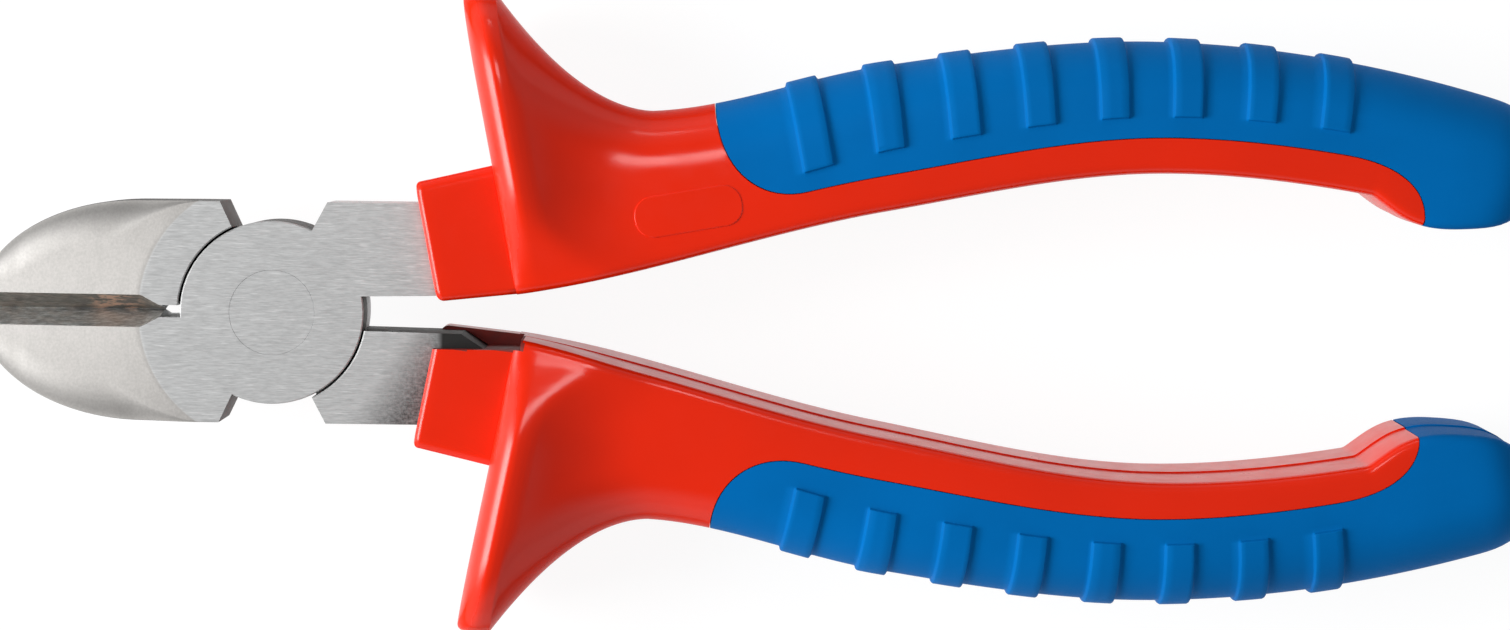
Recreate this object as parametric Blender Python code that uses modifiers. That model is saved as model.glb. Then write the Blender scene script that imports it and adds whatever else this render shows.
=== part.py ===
"""Diagonal cutter of the 180 mm class, built as seven separate pieces.

The closed tool lies flat, with its jaws towards -X and its handles towards +X.
The origin is on the pivot axis, in the plane of the joint's underside.
Both halves are the same forging: the rear one is the front one turned over about the X axis,
and so are the handles. Every piece is therefore modelled once, about the joint's mid-plane,
as the half with the lower jaw, the front disc and the upper handle.
"""

import math

import bmesh
import bpy
from mathutils import Matrix, Vector

MM = 0.001

# Head
JOINT_THICKNESS = 10.5 * MM
HEAD_WIDTH = 25.4 * MM
JAW_REACH = 34.3 * MM
NOSE_LENGTH = 19.1 * MM
NOSE_FLAT = 1.2 * MM
CUTTING_EDGE_GAP = 0.3 * MM
CUTTING_LAND = 0.2 * MM
BEVEL_WIDTH = 1.8 * MM
BEVEL_RUNOUT = 3.9 * MM
RELIEF_LENGTH = 2.6 * MM
RELIEF_HEIGHT = 1.4 * MM
RELIEF_RUN = 0.3 * MM
GROUND_RADIUS = 15.2 * MM
GROUND_CURVE = 0.8
JAW_TIP_THICKNESS = 5.8 * MM
JAW_SHOULDER_ANGLE = math.radians(25.3)

# Lap joint
DISC_DIAMETER = 21.0 * MM
DISC_GAP = 0.35 * MM
LAP_GAP = 0.3 * MM
RIVET_HEAD_DIAMETER = 9.8 * MM
RIVET_SHANK_DIAMETER = 6.4 * MM
RIVET_HEAD_DEPTH = 1.6 * MM
RIVET_CLEARANCE = 0.3 * MM

# Tang
TANG_SHOULDER_ANGLE = math.radians(25.5)
TANG_SHOULDER_RUN = 0.53
TANG_GAP = 4.0 * MM
TANG_ROOT_LENGTH = 27.0 * MM
ROOT_STRAIGHT = 2.4 * MM
ROOT_END_INNER = 5.6 * MM
TANG_THICKNESS = 8.0 * MM
TANG_WIDTH = 7.0 * MM
TANG_TIP_WIDTH = 5.0 * MM
TANG_REACH = 112.0 * MM

# Hard sleeve
FIT_CLEARANCE = 0.3 * MM
COLLAR_WALL = 2.1 * MM
COLLAR_INNER_WALL = 0.6 * MM
COLLAR_OUTER_WALL = 2.3 * MM
COLLAR_INNER = 1.65 * MM
COLLAR_FRONT = 19.3 * MM
COLLAR_LEAN = 0.195
COLLAR_RISE = 1.9 * MM
COLLAR_EDGE = 0.9 * MM
GUARD_FRONT = 28.6 * MM
GUARD_LEAN = 0.2
GUARD_REACH = 36.8 * MM
GUARD_LEAD = 0.4 * MM
GUARD_THICKNESS = 5.2 * MM
GUARD_WIDTH = 24.0 * MM
GUARD_INNER = 2.55 * MM
GUARD_EDGE = 0.9 * MM
GUARD_ROUND = 0.75
SWEEP_CURVE = 2.2
SWEEP_LEAN_CURVE = 1.5
SWEEP_FLARE_CURVE = 4.0
NOTCH_LENGTH = 9.6 * MM
NOTCH_DEPTH = 2.2 * MM

# Handle outline: places along X and distances from the tool's middle line
WAIST_X = 43.4 * MM
WAIST_OUTER = 23.9 * MM
WAIST_SLOPE = 0.05
BEND_X = 70.0 * MM
BEND_INNER = 12.5 * MM
BEND_OUTER = 29.3 * MM
PEAK_X = 102.0 * MM
PEAK_INNER = 17.3 * MM
PEAK_OUTER = 32.5 * MM
HOOK_FROM_END = 20.7 * MM
HOOK_RUN = 3.6 * MM
HOOK_INNER = 15.1 * MM
HOOK_DROP = 2.5 * MM
TAIL_INNER = 11.5 * MM
TAIL_OUTER = 26.9 * MM
INNER_RISE = 0.15
INNER_FALL = -0.17
TAIL_SLOPE = -0.28
HANDLE_END = 146.5 * MM
END_ROUND = 7.0 * MM
END_CURVE = 2.4
WAIST_THICKNESS = 16.4 * MM
GRIP_THICKNESS = 17.4 * MM
INNER_EDGE_ROUND = 1.2 * MM
OUTER_ROUND_WIDTH = 6.0 * MM
OUTER_FLAT = 1.4 * MM
FACE_CROWN = 0.25 * MM

# Soft grip
SOFT_START = 50.6 * MM
SOFT_FRONT_RUN = 10.5 * MM
SOFT_TAIL_RUN = 10.3 * MM
SOFT_TAIL_FROM_END = 14.7 * MM
SOFT_LAYER = 2.0 * MM
SOFT_SIDE = 2.6 * MM
STRIP_WIDTH = 5.4 * MM
STRIP_TAIL_WIDTH = 3.8 * MM
CORE_SKIN = 0.8 * MM
CORE_SETBACK = 6.0 * MM
RIB_COUNT = 8
RIB_FIRST_X = 61.2 * MM
RIB_PITCH = 8.65 * MM
RIB_WIDTH = 3.3 * MM
RIB_HEIGHT = 0.55 * MM
RIB_REACH = 9.8 * MM
RIB_LAST_REACH = 8.2 * MM
RIB_TURN = 0.75

# Fineness of the facets
DISC_STEPS = 72
RIVET_STEPS = 48
NOSE_STEPS = 14
CURVE_STEPS = 8
SWEEP_STEPS = 6
END_STEPS = 7
STATION_STEP = 6.0 * MM
CORNER_STEPS = 3
FACE_STEPS = 4
OUTER_STEPS = 5
SMOOTH_ANGLE = math.radians(35)

# Helpers that reach clear of the solid that they cut
CLEAR = 3.0 * MM
FAR = 20.0 * MM
PAST = 2.0
WELD = 0.001 * MM

STEEL = (0.49, 0.50, 0.50, 1.0)
RIVET_STEEL = (0.44, 0.45, 0.45, 1.0)
RED = (0.776, 0.025, 0.009, 1.0)
BLUE = (0.001, 0.14, 0.43, 1.0)

# Places that follow from the sizes above
HALF_JOINT = JOINT_THICKNESS / 2
HALF_HEAD = HEAD_WIDTH / 2
DISC_RADIUS = DISC_DIAMETER / 2
EDGE_HEEL = -DISC_RADIUS - RELIEF_LENGTH
COLLAR_HALF = HALF_JOINT + FIT_CLEARANCE + COLLAR_WALL
COLLAR_OUTER = HALF_HEAD + FIT_CLEARANCE + COLLAR_OUTER_WALL
ROOT_INNER = COLLAR_INNER + COLLAR_INNER_WALL + FIT_CLEARANCE
HOOK_X = HANDLE_END - HOOK_FROM_END
END_START = HANDLE_END - END_ROUND
SOFT_TAIL_X = HANDLE_END - SOFT_TAIL_FROM_END
GUARD_TIP_BACK = GUARD_FRONT + GUARD_THICKNESS - GUARD_LEAN * GUARD_REACH


def clear_scene():
    """Remove what the file holds at the start."""
    for item in list(bpy.data.objects):
        bpy.data.objects.remove(item, do_unlink=True)


def new_solid(name, work):
    """Turn a bmesh into an object, welded and with its faces pointing out."""
    bmesh.ops.remove_doubles(work, verts=work.verts, dist=WELD)
    bmesh.ops.recalc_face_normals(work, faces=work.faces)
    mesh = bpy.data.meshes.new(name)
    work.to_mesh(mesh)
    work.free()
    solid = bpy.data.objects.new(name, mesh)
    bpy.context.scene.collection.objects.link(solid)
    return solid


def evaluated_solid(source):
    """Replace an object by the plain mesh that its modifiers or its curve make."""
    bpy.context.view_layer.update()
    depsgraph = bpy.context.evaluated_depsgraph_get()
    mesh = bpy.data.meshes.new_from_object(source.evaluated_get(depsgraph), depsgraph=depsgraph)
    mesh.transform(source.matrix_world)
    name = source.name
    bpy.data.objects.remove(source, do_unlink=True)
    work = bmesh.new()
    work.from_mesh(mesh)
    bpy.data.meshes.remove(mesh)
    return new_solid(name, work)


def combine(target, tool, operation):
    """Join, cut or intersect the target with a tool, which is used up."""
    boolean = target.modifiers.new(operation, 'BOOLEAN')
    boolean.operation = operation
    boolean.solver = 'EXACT'
    boolean.object = tool
    result = evaluated_solid(target)
    bpy.data.objects.remove(tool, do_unlink=True)
    return result


def plate(name, outline, low, high):
    """Extrude a closed XY outline between two heights."""
    curve = bpy.data.curves.new(name, 'CURVE')
    curve.dimensions = '2D'
    curve.fill_mode = 'BOTH'
    curve.extrude = (high - low) / 2
    spline = curve.splines.new('POLY')
    spline.points.add(len(outline) - 1)
    for point, (x, y) in zip(spline.points, outline):
        point.co = (x, y, 0.0, 1.0)
    spline.use_cyclic_u = True
    flat = bpy.data.objects.new(name, curve)
    flat.location.z = (high + low) / 2
    bpy.context.scene.collection.objects.link(flat)
    return evaluated_solid(flat)


def cylinder(name, radius, low, high):
    """Make a disc about the pivot axis between two heights."""
    work = bmesh.new()
    bmesh.ops.create_cone(
        work, cap_ends=True, segments=DISC_STEPS, radius1=radius, radius2=radius, depth=high - low,
        matrix=Matrix.Translation((0, 0, (high + low) / 2)))
    return new_solid(name, work)


def block(name, corner, along, across, up):
    """Make a box from one corner and its three edge vectors."""
    frame = Matrix((along, across, up)).transposed().to_4x4()
    frame.translation = Vector(corner) + (Vector(along) + Vector(across) + Vector(up)) / 2
    work = bmesh.new()
    bmesh.ops.create_cube(work, size=1.0, matrix=frame)
    return new_solid(name, work)


def turned(name, profile, steps):
    """Turn a closed profile of (radius, height) points about the pivot axis."""
    work = bmesh.new()
    verts = [work.verts.new((radius, 0.0, height)) for radius, height in profile]
    for first, second in zip(verts, verts[1:] + verts[:1]):
        if first.co.x > 0 or second.co.x > 0:
            work.edges.new((first, second))
    mesh = bpy.data.meshes.new(name)
    work.to_mesh(mesh)
    work.free()
    body = bpy.data.objects.new(name, mesh)
    bpy.context.scene.collection.objects.link(body)
    screw = body.modifiers.new('turn', 'SCREW')
    screw.steps = steps
    screw.render_steps = steps
    screw.use_merge_vertices = True
    screw.merge_threshold = WELD
    return evaluated_solid(body)


def polar(radius, angle):
    """Give the point at an angle counted from +X."""
    return (radius * math.cos(angle), radius * math.sin(angle))


def arc(radius, start, end, steps):
    """Give the points of an arc about the pivot."""
    return [polar(radius, start + (end - start) * k / steps) for k in range(steps + 1)]


def rail(points, x, start_slope=None, end_slope=None):
    """Read a smooth curve through a few (x, y) points, straight beyond its ends."""
    slopes = [(b[1] - a[1]) / (b[0] - a[0]) for a, b in zip(points, points[1:])]
    tangents = [slopes[0] if start_slope is None else start_slope]
    for k in range(1, len(slopes)):
        before = points[k][0] - points[k - 1][0]
        after = points[k + 1][0] - points[k][0]
        tangents.append((slopes[k - 1] * after + slopes[k] * before) / (before + after))
    tangents.append(slopes[-1] if end_slope is None else end_slope)
    if x <= points[0][0]:
        return points[0][1] + (x - points[0][0]) * tangents[0]
    if x >= points[-1][0]:
        return points[-1][1] + (x - points[-1][0]) * tangents[-1]
    k = 0
    while x > points[k + 1][0]:
        k += 1
    run = points[k + 1][0] - points[k][0]
    t = (x - points[k][0]) / run
    start = points[k][1] * (1 + 2 * t) * (1 - t) ** 2 + tangents[k] * run * t * (1 - t) ** 2
    end = points[k + 1][1] * t * t * (3 - 2 * t) + tangents[k + 1] * run * t * t * (t - 1)
    return start + end


def inner_edge(x):
    """Distance of the handle's inner side from the middle line."""
    if x < HOOK_X:
        grip = [(GUARD_FRONT, GUARD_INNER), (BEND_X, BEND_INNER), (PEAK_X, PEAK_INNER), (HOOK_X, HOOK_INNER)]
        return rail(grip, x, INNER_RISE, INNER_FALL)
    hook = [(HOOK_X, HOOK_INNER), (HOOK_X + HOOK_RUN, HOOK_INNER - HOOK_DROP), (END_START, TAIL_INNER)]
    return rail(hook, x, None, 0.0)


def outer_edge(x):
    """Distance of the handle's outer side from the middle line, without the guard."""
    if x < WAIST_X:
        return rail([(COLLAR_FRONT, COLLAR_OUTER), (WAIST_X, WAIST_OUTER)], x)
    grip = [(WAIST_X, WAIST_OUTER), (BEND_X, BEND_OUTER), (PEAK_X, PEAK_OUTER), (END_START, TAIL_OUTER)]
    return rail(grip, x, WAIST_SLOPE, TAIL_SLOPE)


def half_thickness(x):
    """Half of the handle's thickness behind the guard."""
    return rail([
        (WAIST_X, WAIST_THICKNESS / 2), (PEAK_X, GRIP_THICKNESS / 2), (END_START, GRIP_THICKNESS / 2)], x)


def cross_section(width, half_in, half_out, round_in, round_out):
    """Give the closed ring of (across, height) points: flat inner wall, crowned faces, round outer side."""
    half = [(0.0, 0.0)]
    for k in range(CORNER_STEPS + 1):
        angle = math.pi / 2 * k / CORNER_STEPS
        half.append((round_in * (1 - math.cos(angle)), half_in - round_in * (1 - math.sin(angle))))
    face_start = half[-1]
    face_end = (width - round_out[0], half_out)
    for k in range(1, FACE_STEPS):
        t = k / FACE_STEPS
        across = face_start[0] + (face_end[0] - face_start[0]) * t
        height = face_start[1] + (face_end[1] - face_start[1]) * t
        half.append((across, height + FACE_CROWN * math.sin(math.pi * t)))
    for k in range(OUTER_STEPS + 1):
        angle = math.pi / 2 * k / OUTER_STEPS
        across = width - round_out[0] * (1 - math.sin(angle))
        half.append((across, half_out - round_out[1] * (1 - math.cos(angle))))
    half.append((width, 0.0))
    return half + [(across, -height) for across, height in reversed(half[1:-1])]


def ring(place, lean, inner, outer, half_in, half_out, round_in, round_out):
    """Place one cross-section in a plane that leans forward by lean for each unit of Y."""
    section = cross_section(outer - inner, half_in, half_out, round_in, round_out)
    return [Vector((place - lean * (inner + across), inner + across, height)) for across, height in section]


def loft(name, rings):
    """Join a row of rings with faces and close both ends."""
    work = bmesh.new()
    rows = [[work.verts.new(point) for point in points] for points in rings]
    count = len(rows[0])
    for first, second in zip(rows, rows[1:]):
        for k in range(count):
            work.faces.new((first[k], first[(k + 1) % count], second[(k + 1) % count], second[k]))
    work.faces.new(rows[0])
    work.faces.new(rows[-1])
    return new_solid(name, work)


def stations(start, end):
    """Divide a length of the handle into even steps."""
    count = max(2, round((end - start) / STATION_STEP))
    return [start + (end - start) * k / count for k in range(count + 1)]


def body_ring(x, inner, outer, half, shrink=1.0):
    """Give the plain section of the handle at x, drawn in about its middle by shrink."""
    middle = (inner + outer) / 2
    reach = (outer - inner) / 2 * shrink
    half = half * shrink
    round_out = (min(OUTER_ROUND_WIDTH, reach) * shrink, half - OUTER_FLAT * shrink / 2)
    return ring(x, 0.0, middle - reach, middle + reach, half, half, INNER_EDGE_ROUND * shrink, round_out)


def collar_rings():
    """Rings of the collar, from its rounded front edge to the guard."""
    soft = COLLAR_EDGE / 2
    front_half = COLLAR_HALF - soft
    return [
        ring(COLLAR_FRONT, COLLAR_LEAN, COLLAR_INNER + soft, COLLAR_OUTER - soft,
             front_half, front_half, soft, (soft, soft)),
        ring(COLLAR_FRONT + soft, COLLAR_LEAN, COLLAR_INNER, COLLAR_OUTER,
             COLLAR_HALF, COLLAR_HALF, COLLAR_EDGE, (COLLAR_EDGE, COLLAR_EDGE)),
        ring(GUARD_FRONT, GUARD_LEAN, GUARD_INNER, COLLAR_OUTER + COLLAR_RISE,
             COLLAR_HALF, COLLAR_HALF, COLLAR_EDGE, (COLLAR_EDGE, COLLAR_EDGE))]


def guard_rings():
    """Rings of the guard's flange and of the hollow sweep behind it."""
    base = WAIST_THICKNESS / 2
    half = GUARD_WIDTH / 2
    tip_round = (GUARD_REACH - COLLAR_OUTER) / 2
    rings = []
    rim = [(GUARD_LEAD, GUARD_EDGE), (GUARD_LEAD + GUARD_EDGE, 0.0)]
    rim += [(GUARD_THICKNESS - GUARD_EDGE, 0.0), (GUARD_THICKNESS, GUARD_EDGE)]
    for step, edge in rim:
        place = GUARD_FRONT + step
        rings.append(ring(
            place, GUARD_LEAN, inner_edge(place), GUARD_REACH - edge,
            base, half - edge, INNER_EDGE_ROUND, (tip_round, half * GUARD_ROUND)))
    for k in range(1, SWEEP_STEPS):
        rest = 1 - k / SWEEP_STEPS
        outer = WAIST_OUTER + (GUARD_REACH - WAIST_OUTER) * rest ** SWEEP_CURVE
        lean = GUARD_LEAN * rest ** SWEEP_LEAN_CURVE
        place = WAIST_X + (GUARD_TIP_BACK - WAIST_X) * rest + lean * outer
        round_out = (OUTER_ROUND_WIDTH + (tip_round - OUTER_ROUND_WIDTH) * rest, base - OUTER_FLAT / 2)
        flare = (half - base) * rest ** SWEEP_FLARE_CURVE
        rings.append(ring(
            place, lean, inner_edge(place), outer, base, base + flare, INNER_EDGE_ROUND, round_out))
    return rings


def end_rings():
    """Rings that round off the handle's end."""
    rings = []
    for k in range(END_STEPS):
        share = math.sin(math.pi / 2 * k / END_STEPS)
        x = END_START + END_ROUND * share
        shrink = math.sqrt(1 - share ** END_CURVE)
        rings.append(body_ring(x, inner_edge(x), outer_edge(x), half_thickness(x), shrink))
    return rings


def handle_form():
    """The whole outer form of a handle, before it is parted into its two layers."""
    hook_end = HOOK_X + HOOK_RUN
    places = stations(WAIST_X, HOOK_X)
    places += [HOOK_X + HOOK_RUN * share for share in (0.3, 0.6)]
    places += stations(hook_end, END_START)[:-1]
    grip = [body_ring(x, inner_edge(x), outer_edge(x), half_thickness(x)) for x in places]
    return loft('handle_form', collar_rings() + guard_rings() + grip + end_rings())


def core_form(grow):
    """The hard core under the soft layer, grown by the clearance for the pocket that takes it."""
    rings = []
    for x in stations(SOFT_START - SOFT_FRONT_RUN / 2 - grow, HANDLE_END - CORE_SETBACK + grow):
        inner = inner_edge(min(x, HOOK_X)) + CORE_SKIN - grow
        outer = outer_edge(x) - SOFT_SIDE + grow
        rings.append(body_ring(x, inner, outer, half_thickness(x) - SOFT_LAYER + grow))
    return loft('core_form', rings)


def soft_region(grow):
    """The block of space that the soft grip takes up, seen from above."""
    front_x = SOFT_START + SOFT_FRONT_RUN
    front_y = outer_edge(SOFT_START)
    drop = front_y - inner_edge(front_x) - STRIP_WIDTH
    tail_x = SOFT_TAIL_X - SOFT_TAIL_RUN
    tail_y = inner_edge(SOFT_TAIL_X)
    rise = inner_edge(tail_x) + STRIP_TAIL_WIDTH - tail_y
    outline = [(SOFT_START - grow, front_y + FAR)]
    for k in range(CURVE_STEPS):
        angle = math.pi / 2 * k / CURVE_STEPS
        x = front_x - (SOFT_FRONT_RUN + grow) * math.cos(angle)
        outline.append((x, front_y - (drop + grow) * math.sin(angle)))
    for x in stations(front_x, tail_x)[:-1]:
        share = (x - front_x) / (tail_x - front_x)
        strip = STRIP_WIDTH + (STRIP_TAIL_WIDTH - STRIP_WIDTH) * share
        outline.append((x, inner_edge(x) + strip - grow))
    for k in range(CURVE_STEPS + 1):
        angle = math.pi / 2 * k / CURVE_STEPS
        x = tail_x + (SOFT_TAIL_RUN - grow) * math.sin(angle)
        outline.append((x, tail_y + (rise - grow) * math.cos(angle)))
    outline.append((tail_x + SOFT_TAIL_RUN - grow, tail_y - FAR))
    outline.append((HANDLE_END + FAR, tail_y - FAR))
    outline.append((HANDLE_END + FAR, front_y + FAR))
    return plate('soft_region', outline, -GRIP_THICKNESS, GRIP_THICKNESS)


def rib_bands():
    """The ribs: short bands over the outer side, cut from the grip's form grown by the rib height."""
    rings = []
    for x in stations(SOFT_START, HANDLE_END - CORE_SETBACK):
        rings.append(body_ring(x, inner_edge(x), outer_edge(x) + RIB_HEIGHT, half_thickness(x) + RIB_HEIGHT))
    grown = loft('grown_grip', rings)
    work = bmesh.new()
    for k in range(RIB_COUNT):
        x = RIB_FIRST_X + RIB_PITCH * k
        slope = (outer_edge(x + RIB_WIDTH) - outer_edge(x - RIB_WIDTH)) / (2 * RIB_WIDTH)
        turn = Matrix.Rotation(math.atan(slope) * RIB_TURN, 4, 'Z')
        reach = RIB_REACH + (RIB_LAST_REACH - RIB_REACH) * k / (RIB_COUNT - 1)
        centre = Vector((x, outer_edge(x), 0)) - turn @ Vector((0, (reach - CLEAR) / 2, 0))
        size = Matrix.Diagonal((RIB_WIDTH, reach + CLEAR, 2 * GRIP_THICKNESS, 1))
        bmesh.ops.create_cube(work, size=1.0, matrix=Matrix.Translation(centre) @ turn @ size)
    return combine(new_solid('rib_bands', work), grown, 'INTERSECT')


def root_outline(front, grow):
    """The tang's wide root inside the collar, grown by the clearance for the hole that takes it."""
    end = TANG_ROOT_LENGTH + grow
    return [
        (front, HALF_HEAD + grow), (end, HALF_HEAD + grow), (end, ROOT_END_INNER - grow),
        (COLLAR_FRONT + ROOT_STRAIGHT, ROOT_INNER - grow), (front, ROOT_INNER - grow)]


def tang_outline(grow):
    """The tapered bar inside the handle, grown by the clearance for the hole that takes it."""
    start = TANG_ROOT_LENGTH - CLEAR
    lower = []
    upper = []
    for x in stations(start - grow, TANG_REACH + grow):
        share = (x - start) / (TANG_REACH - start)
        half = (TANG_WIDTH + (TANG_TIP_WIDTH - TANG_WIDTH) * share) / 2 + grow
        middle = (inner_edge(x) + outer_edge(x)) / 2
        lower.append((x, middle - half))
        upper.append((x, middle + half))
    return lower + upper[::-1]


def jaw_half_outline():
    """Outline of one forging seen from the front: cutting edge, nose, shoulders, disc and tang root."""
    edge = -CUTTING_EDGE_GAP / 2
    relief = -RELIEF_HEIGHT / 2
    disc_left = math.pi + math.asin(RELIEF_HEIGHT / 2 / DISC_RADIUS)
    tang_shoulder = math.pi / 2 - TANG_SHOULDER_ANGLE
    jaw_shoulder = -math.pi / 2 - JAW_SHOULDER_ANGLE
    tang_start = math.asin(TANG_GAP / 2 / DISC_RADIUS)
    nose_x = NOSE_LENGTH - JAW_REACH
    nose_start = math.asin(NOSE_FLAT / HALF_HEAD)

    points = [(EDGE_HEEL, edge), (EDGE_HEEL + RELIEF_RUN, relief)]
    points += arc(DISC_RADIUS, disc_left, tang_shoulder, DISC_STEPS // 3)
    shoulder_x, shoulder_y = points[-1]
    points.append((shoulder_x + (HALF_HEAD - shoulder_y) * TANG_SHOULDER_RUN, HALF_HEAD))
    points += root_outline(COLLAR_FRONT - CLEAR, 0.0)[1:]
    points += arc(DISC_RADIUS, tang_start, jaw_shoulder, DISC_STEPS // 3)
    points.append((-HALF_HEAD * math.tan(JAW_SHOULDER_ANGLE), -HALF_HEAD))
    for k in range(NOSE_STEPS + 1):
        angle = math.pi / 2 + (nose_start - math.pi / 2) * k / NOSE_STEPS
        points.append((nose_x - NOSE_LENGTH * math.cos(angle), -HALF_HEAD * math.sin(angle)))
    points.append((points[-1][0], edge))
    return points


def ground_face():
    """The space that is ground away over the jaws, beyond a circle about the pivot."""
    depth = HALF_JOINT - JAW_TIP_THICKNESS / 2
    top = HALF_JOINT + CLEAR
    profile = [(GROUND_RADIUS, top)]
    for k in range(CURVE_STEPS + 1):
        share = k / CURVE_STEPS
        radius = GROUND_RADIUS + (JAW_REACH - GROUND_RADIUS) * share
        profile.append((radius, HALF_JOINT - depth * share ** GROUND_CURVE))
    profile.append((JAW_REACH + CLEAR, HALF_JOINT - depth))
    profile.append((JAW_REACH + CLEAR, top))
    wheel = turned('ground_face', profile, DISC_STEPS)
    jaw_side = block('jaw_side', (0, -JAW_REACH - FAR, -FAR), (-JAW_REACH - FAR, 0, 0),
                     (0, 2 * (JAW_REACH + FAR), 0), (0, 0, 2 * FAR))
    return combine(wheel, jaw_side, 'INTERSECT')


def bevel_cutter(side):
    """The wedge that slopes one side of the cutting edge: side is 1 for the front, -1 for the back.

    It takes the same width off the jaw from end to end, and its inner end runs out to a point.
    """
    land = CUTTING_LAND / 2
    across = Vector((0, FAR, 0))
    work = bmesh.new()
    ends = []
    for x, half, runout in (
            (-JAW_REACH - CLEAR, JAW_TIP_THICKNESS / 2, 0.0),
            (EDGE_HEEL, HALF_JOINT, BEVEL_RUNOUT)):
        low = Vector((x, -CUTTING_EDGE_GAP / 2, side * land))
        high = low + Vector((-runout, -BEVEL_WIDTH, side * (half - land))) * PAST
        ends.append([work.verts.new(point) for point in (low, high, high + across, low + across)])
    for k in range(len(ends[0])):
        work.faces.new((ends[0][k - 1], ends[0][k], ends[1][k], ends[1][k - 1]))
    for end in ends:
        work.faces.new(end)
    return new_solid('bevel_cutter', work)


def mirrored(solid):
    """Copy a cutter to the other side of the joint's mid-plane."""
    mesh = solid.data.copy()
    mesh.transform(Matrix.Diagonal((1, 1, -1, 1)))
    mesh.flip_normals()
    copy = bpy.data.objects.new(solid.name, mesh)
    bpy.context.scene.collection.objects.link(copy)
    return copy


def rivet_form(grow):
    """The rivet, grown by the clearance for the hole through the joint."""
    head = RIVET_HEAD_DIAMETER / 2 + grow
    shank = RIVET_SHANK_DIAMETER / 2 + grow
    neck = HALF_JOINT - RIVET_HEAD_DEPTH
    top = HALF_JOINT + (CLEAR if grow else 0.0)
    outer = [(head, top)]
    if grow:
        outer.append((head, HALF_JOINT))
    outer += [(shank, neck), (shank, -neck)]
    if grow:
        outer.append((head, -HALF_JOINT))
    outer.append((head, -top))
    return turned('rivet_form', [(0.0, top)] + outer + [(0.0, -top)], RIVET_STEPS)


def jaw_half():
    """One forging: lower jaw, front disc and the tang of the upper handle."""
    half = plate('jaw_half', jaw_half_outline(), -HALF_JOINT, HALF_JOINT)
    tang = plate('tang', tang_outline(0.0), -TANG_THICKNESS / 2, TANG_THICKNESS / 2)
    half = combine(half, tang, 'UNION')
    recess = cylinder('recess', DISC_RADIUS + DISC_GAP, -HALF_JOINT - CLEAR, LAP_GAP / 2)
    half = combine(half, recess, 'DIFFERENCE')
    front_grind = ground_face()
    back_grind = mirrored(front_grind)
    half = combine(half, front_grind, 'DIFFERENCE')
    half = combine(half, back_grind, 'DIFFERENCE')
    half = combine(half, bevel_cutter(1), 'DIFFERENCE')
    half = combine(half, bevel_cutter(-1), 'DIFFERENCE')
    return combine(half, rivet_form(RIVET_CLEARANCE), 'DIFFERENCE')


def handle_sleeve():
    """The hard sleeve: collar, guard, inner strip and the core under the soft grip."""
    sleeve = combine(handle_form(), soft_region(FIT_CLEARANCE), 'DIFFERENCE')
    sleeve = combine(sleeve, core_form(0.0), 'UNION')
    root_half = HALF_JOINT + FIT_CLEARANCE
    root_hole = plate('root_hole', root_outline(COLLAR_FRONT - FAR, FIT_CLEARANCE), -root_half, root_half)
    tang_half = TANG_THICKNESS / 2 + FIT_CLEARANCE
    tang_hole = plate('tang_hole', tang_outline(FIT_CLEARANCE), -tang_half, tang_half)
    sleeve = combine(sleeve, root_hole, 'DIFFERENCE')
    sleeve = combine(sleeve, tang_hole, 'DIFFERENCE')
    notch = block(
        'notch', (COLLAR_FRONT - CLEAR, COLLAR_INNER - CLEAR, -COLLAR_HALF - CLEAR),
        (NOTCH_LENGTH + CLEAR, 0, 0), (0, NOTCH_DEPTH + CLEAR, 0), (0, 0, COLLAR_HALF + CLEAR))
    return combine(sleeve, notch, 'DIFFERENCE')


def soft_grip():
    """The soft layer with its ribs, hollow over the core."""
    grip = combine(handle_form(), rib_bands(), 'UNION')
    grip = combine(grip, soft_region(0.0), 'INTERSECT')
    return combine(grip, core_form(FIT_CLEARANCE), 'DIFFERENCE')


def material(name, colour, roughness, metallic):
    """A plain finish in the piece's own colour."""
    finish = bpy.data.materials.new(name)
    finish.use_nodes = True
    shader = finish.node_tree.nodes['Principled BSDF']
    shader.inputs['Base Color'].default_value = colour
    shader.inputs['Roughness'].default_value = roughness
    shader.inputs['Metallic'].default_value = metallic
    return finish


def pivot_frame(name, turned_over, collection):
    """An empty on the pivot axis in the joint's mid-plane, which carries one side of the tool."""
    frame = bpy.data.objects.new(name, None)
    frame.location.z = HALF_JOINT
    frame.rotation_euler.x = math.pi if turned_over else 0.0
    collection.objects.link(frame)
    return frame


def place(name, solid, frame, finish, collection):
    """Add one named piece with its own copy of the solid's mesh."""
    piece = bpy.data.objects.new(name, solid.data.copy())
    piece.data.name = name
    piece.data.materials.clear()
    piece.data.materials.append(finish)
    piece.data.shade_smooth()
    piece.data.set_sharp_from_angle(angle=SMOOTH_ANGLE)
    piece.parent = frame
    collection.objects.link(piece)
    return piece


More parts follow.
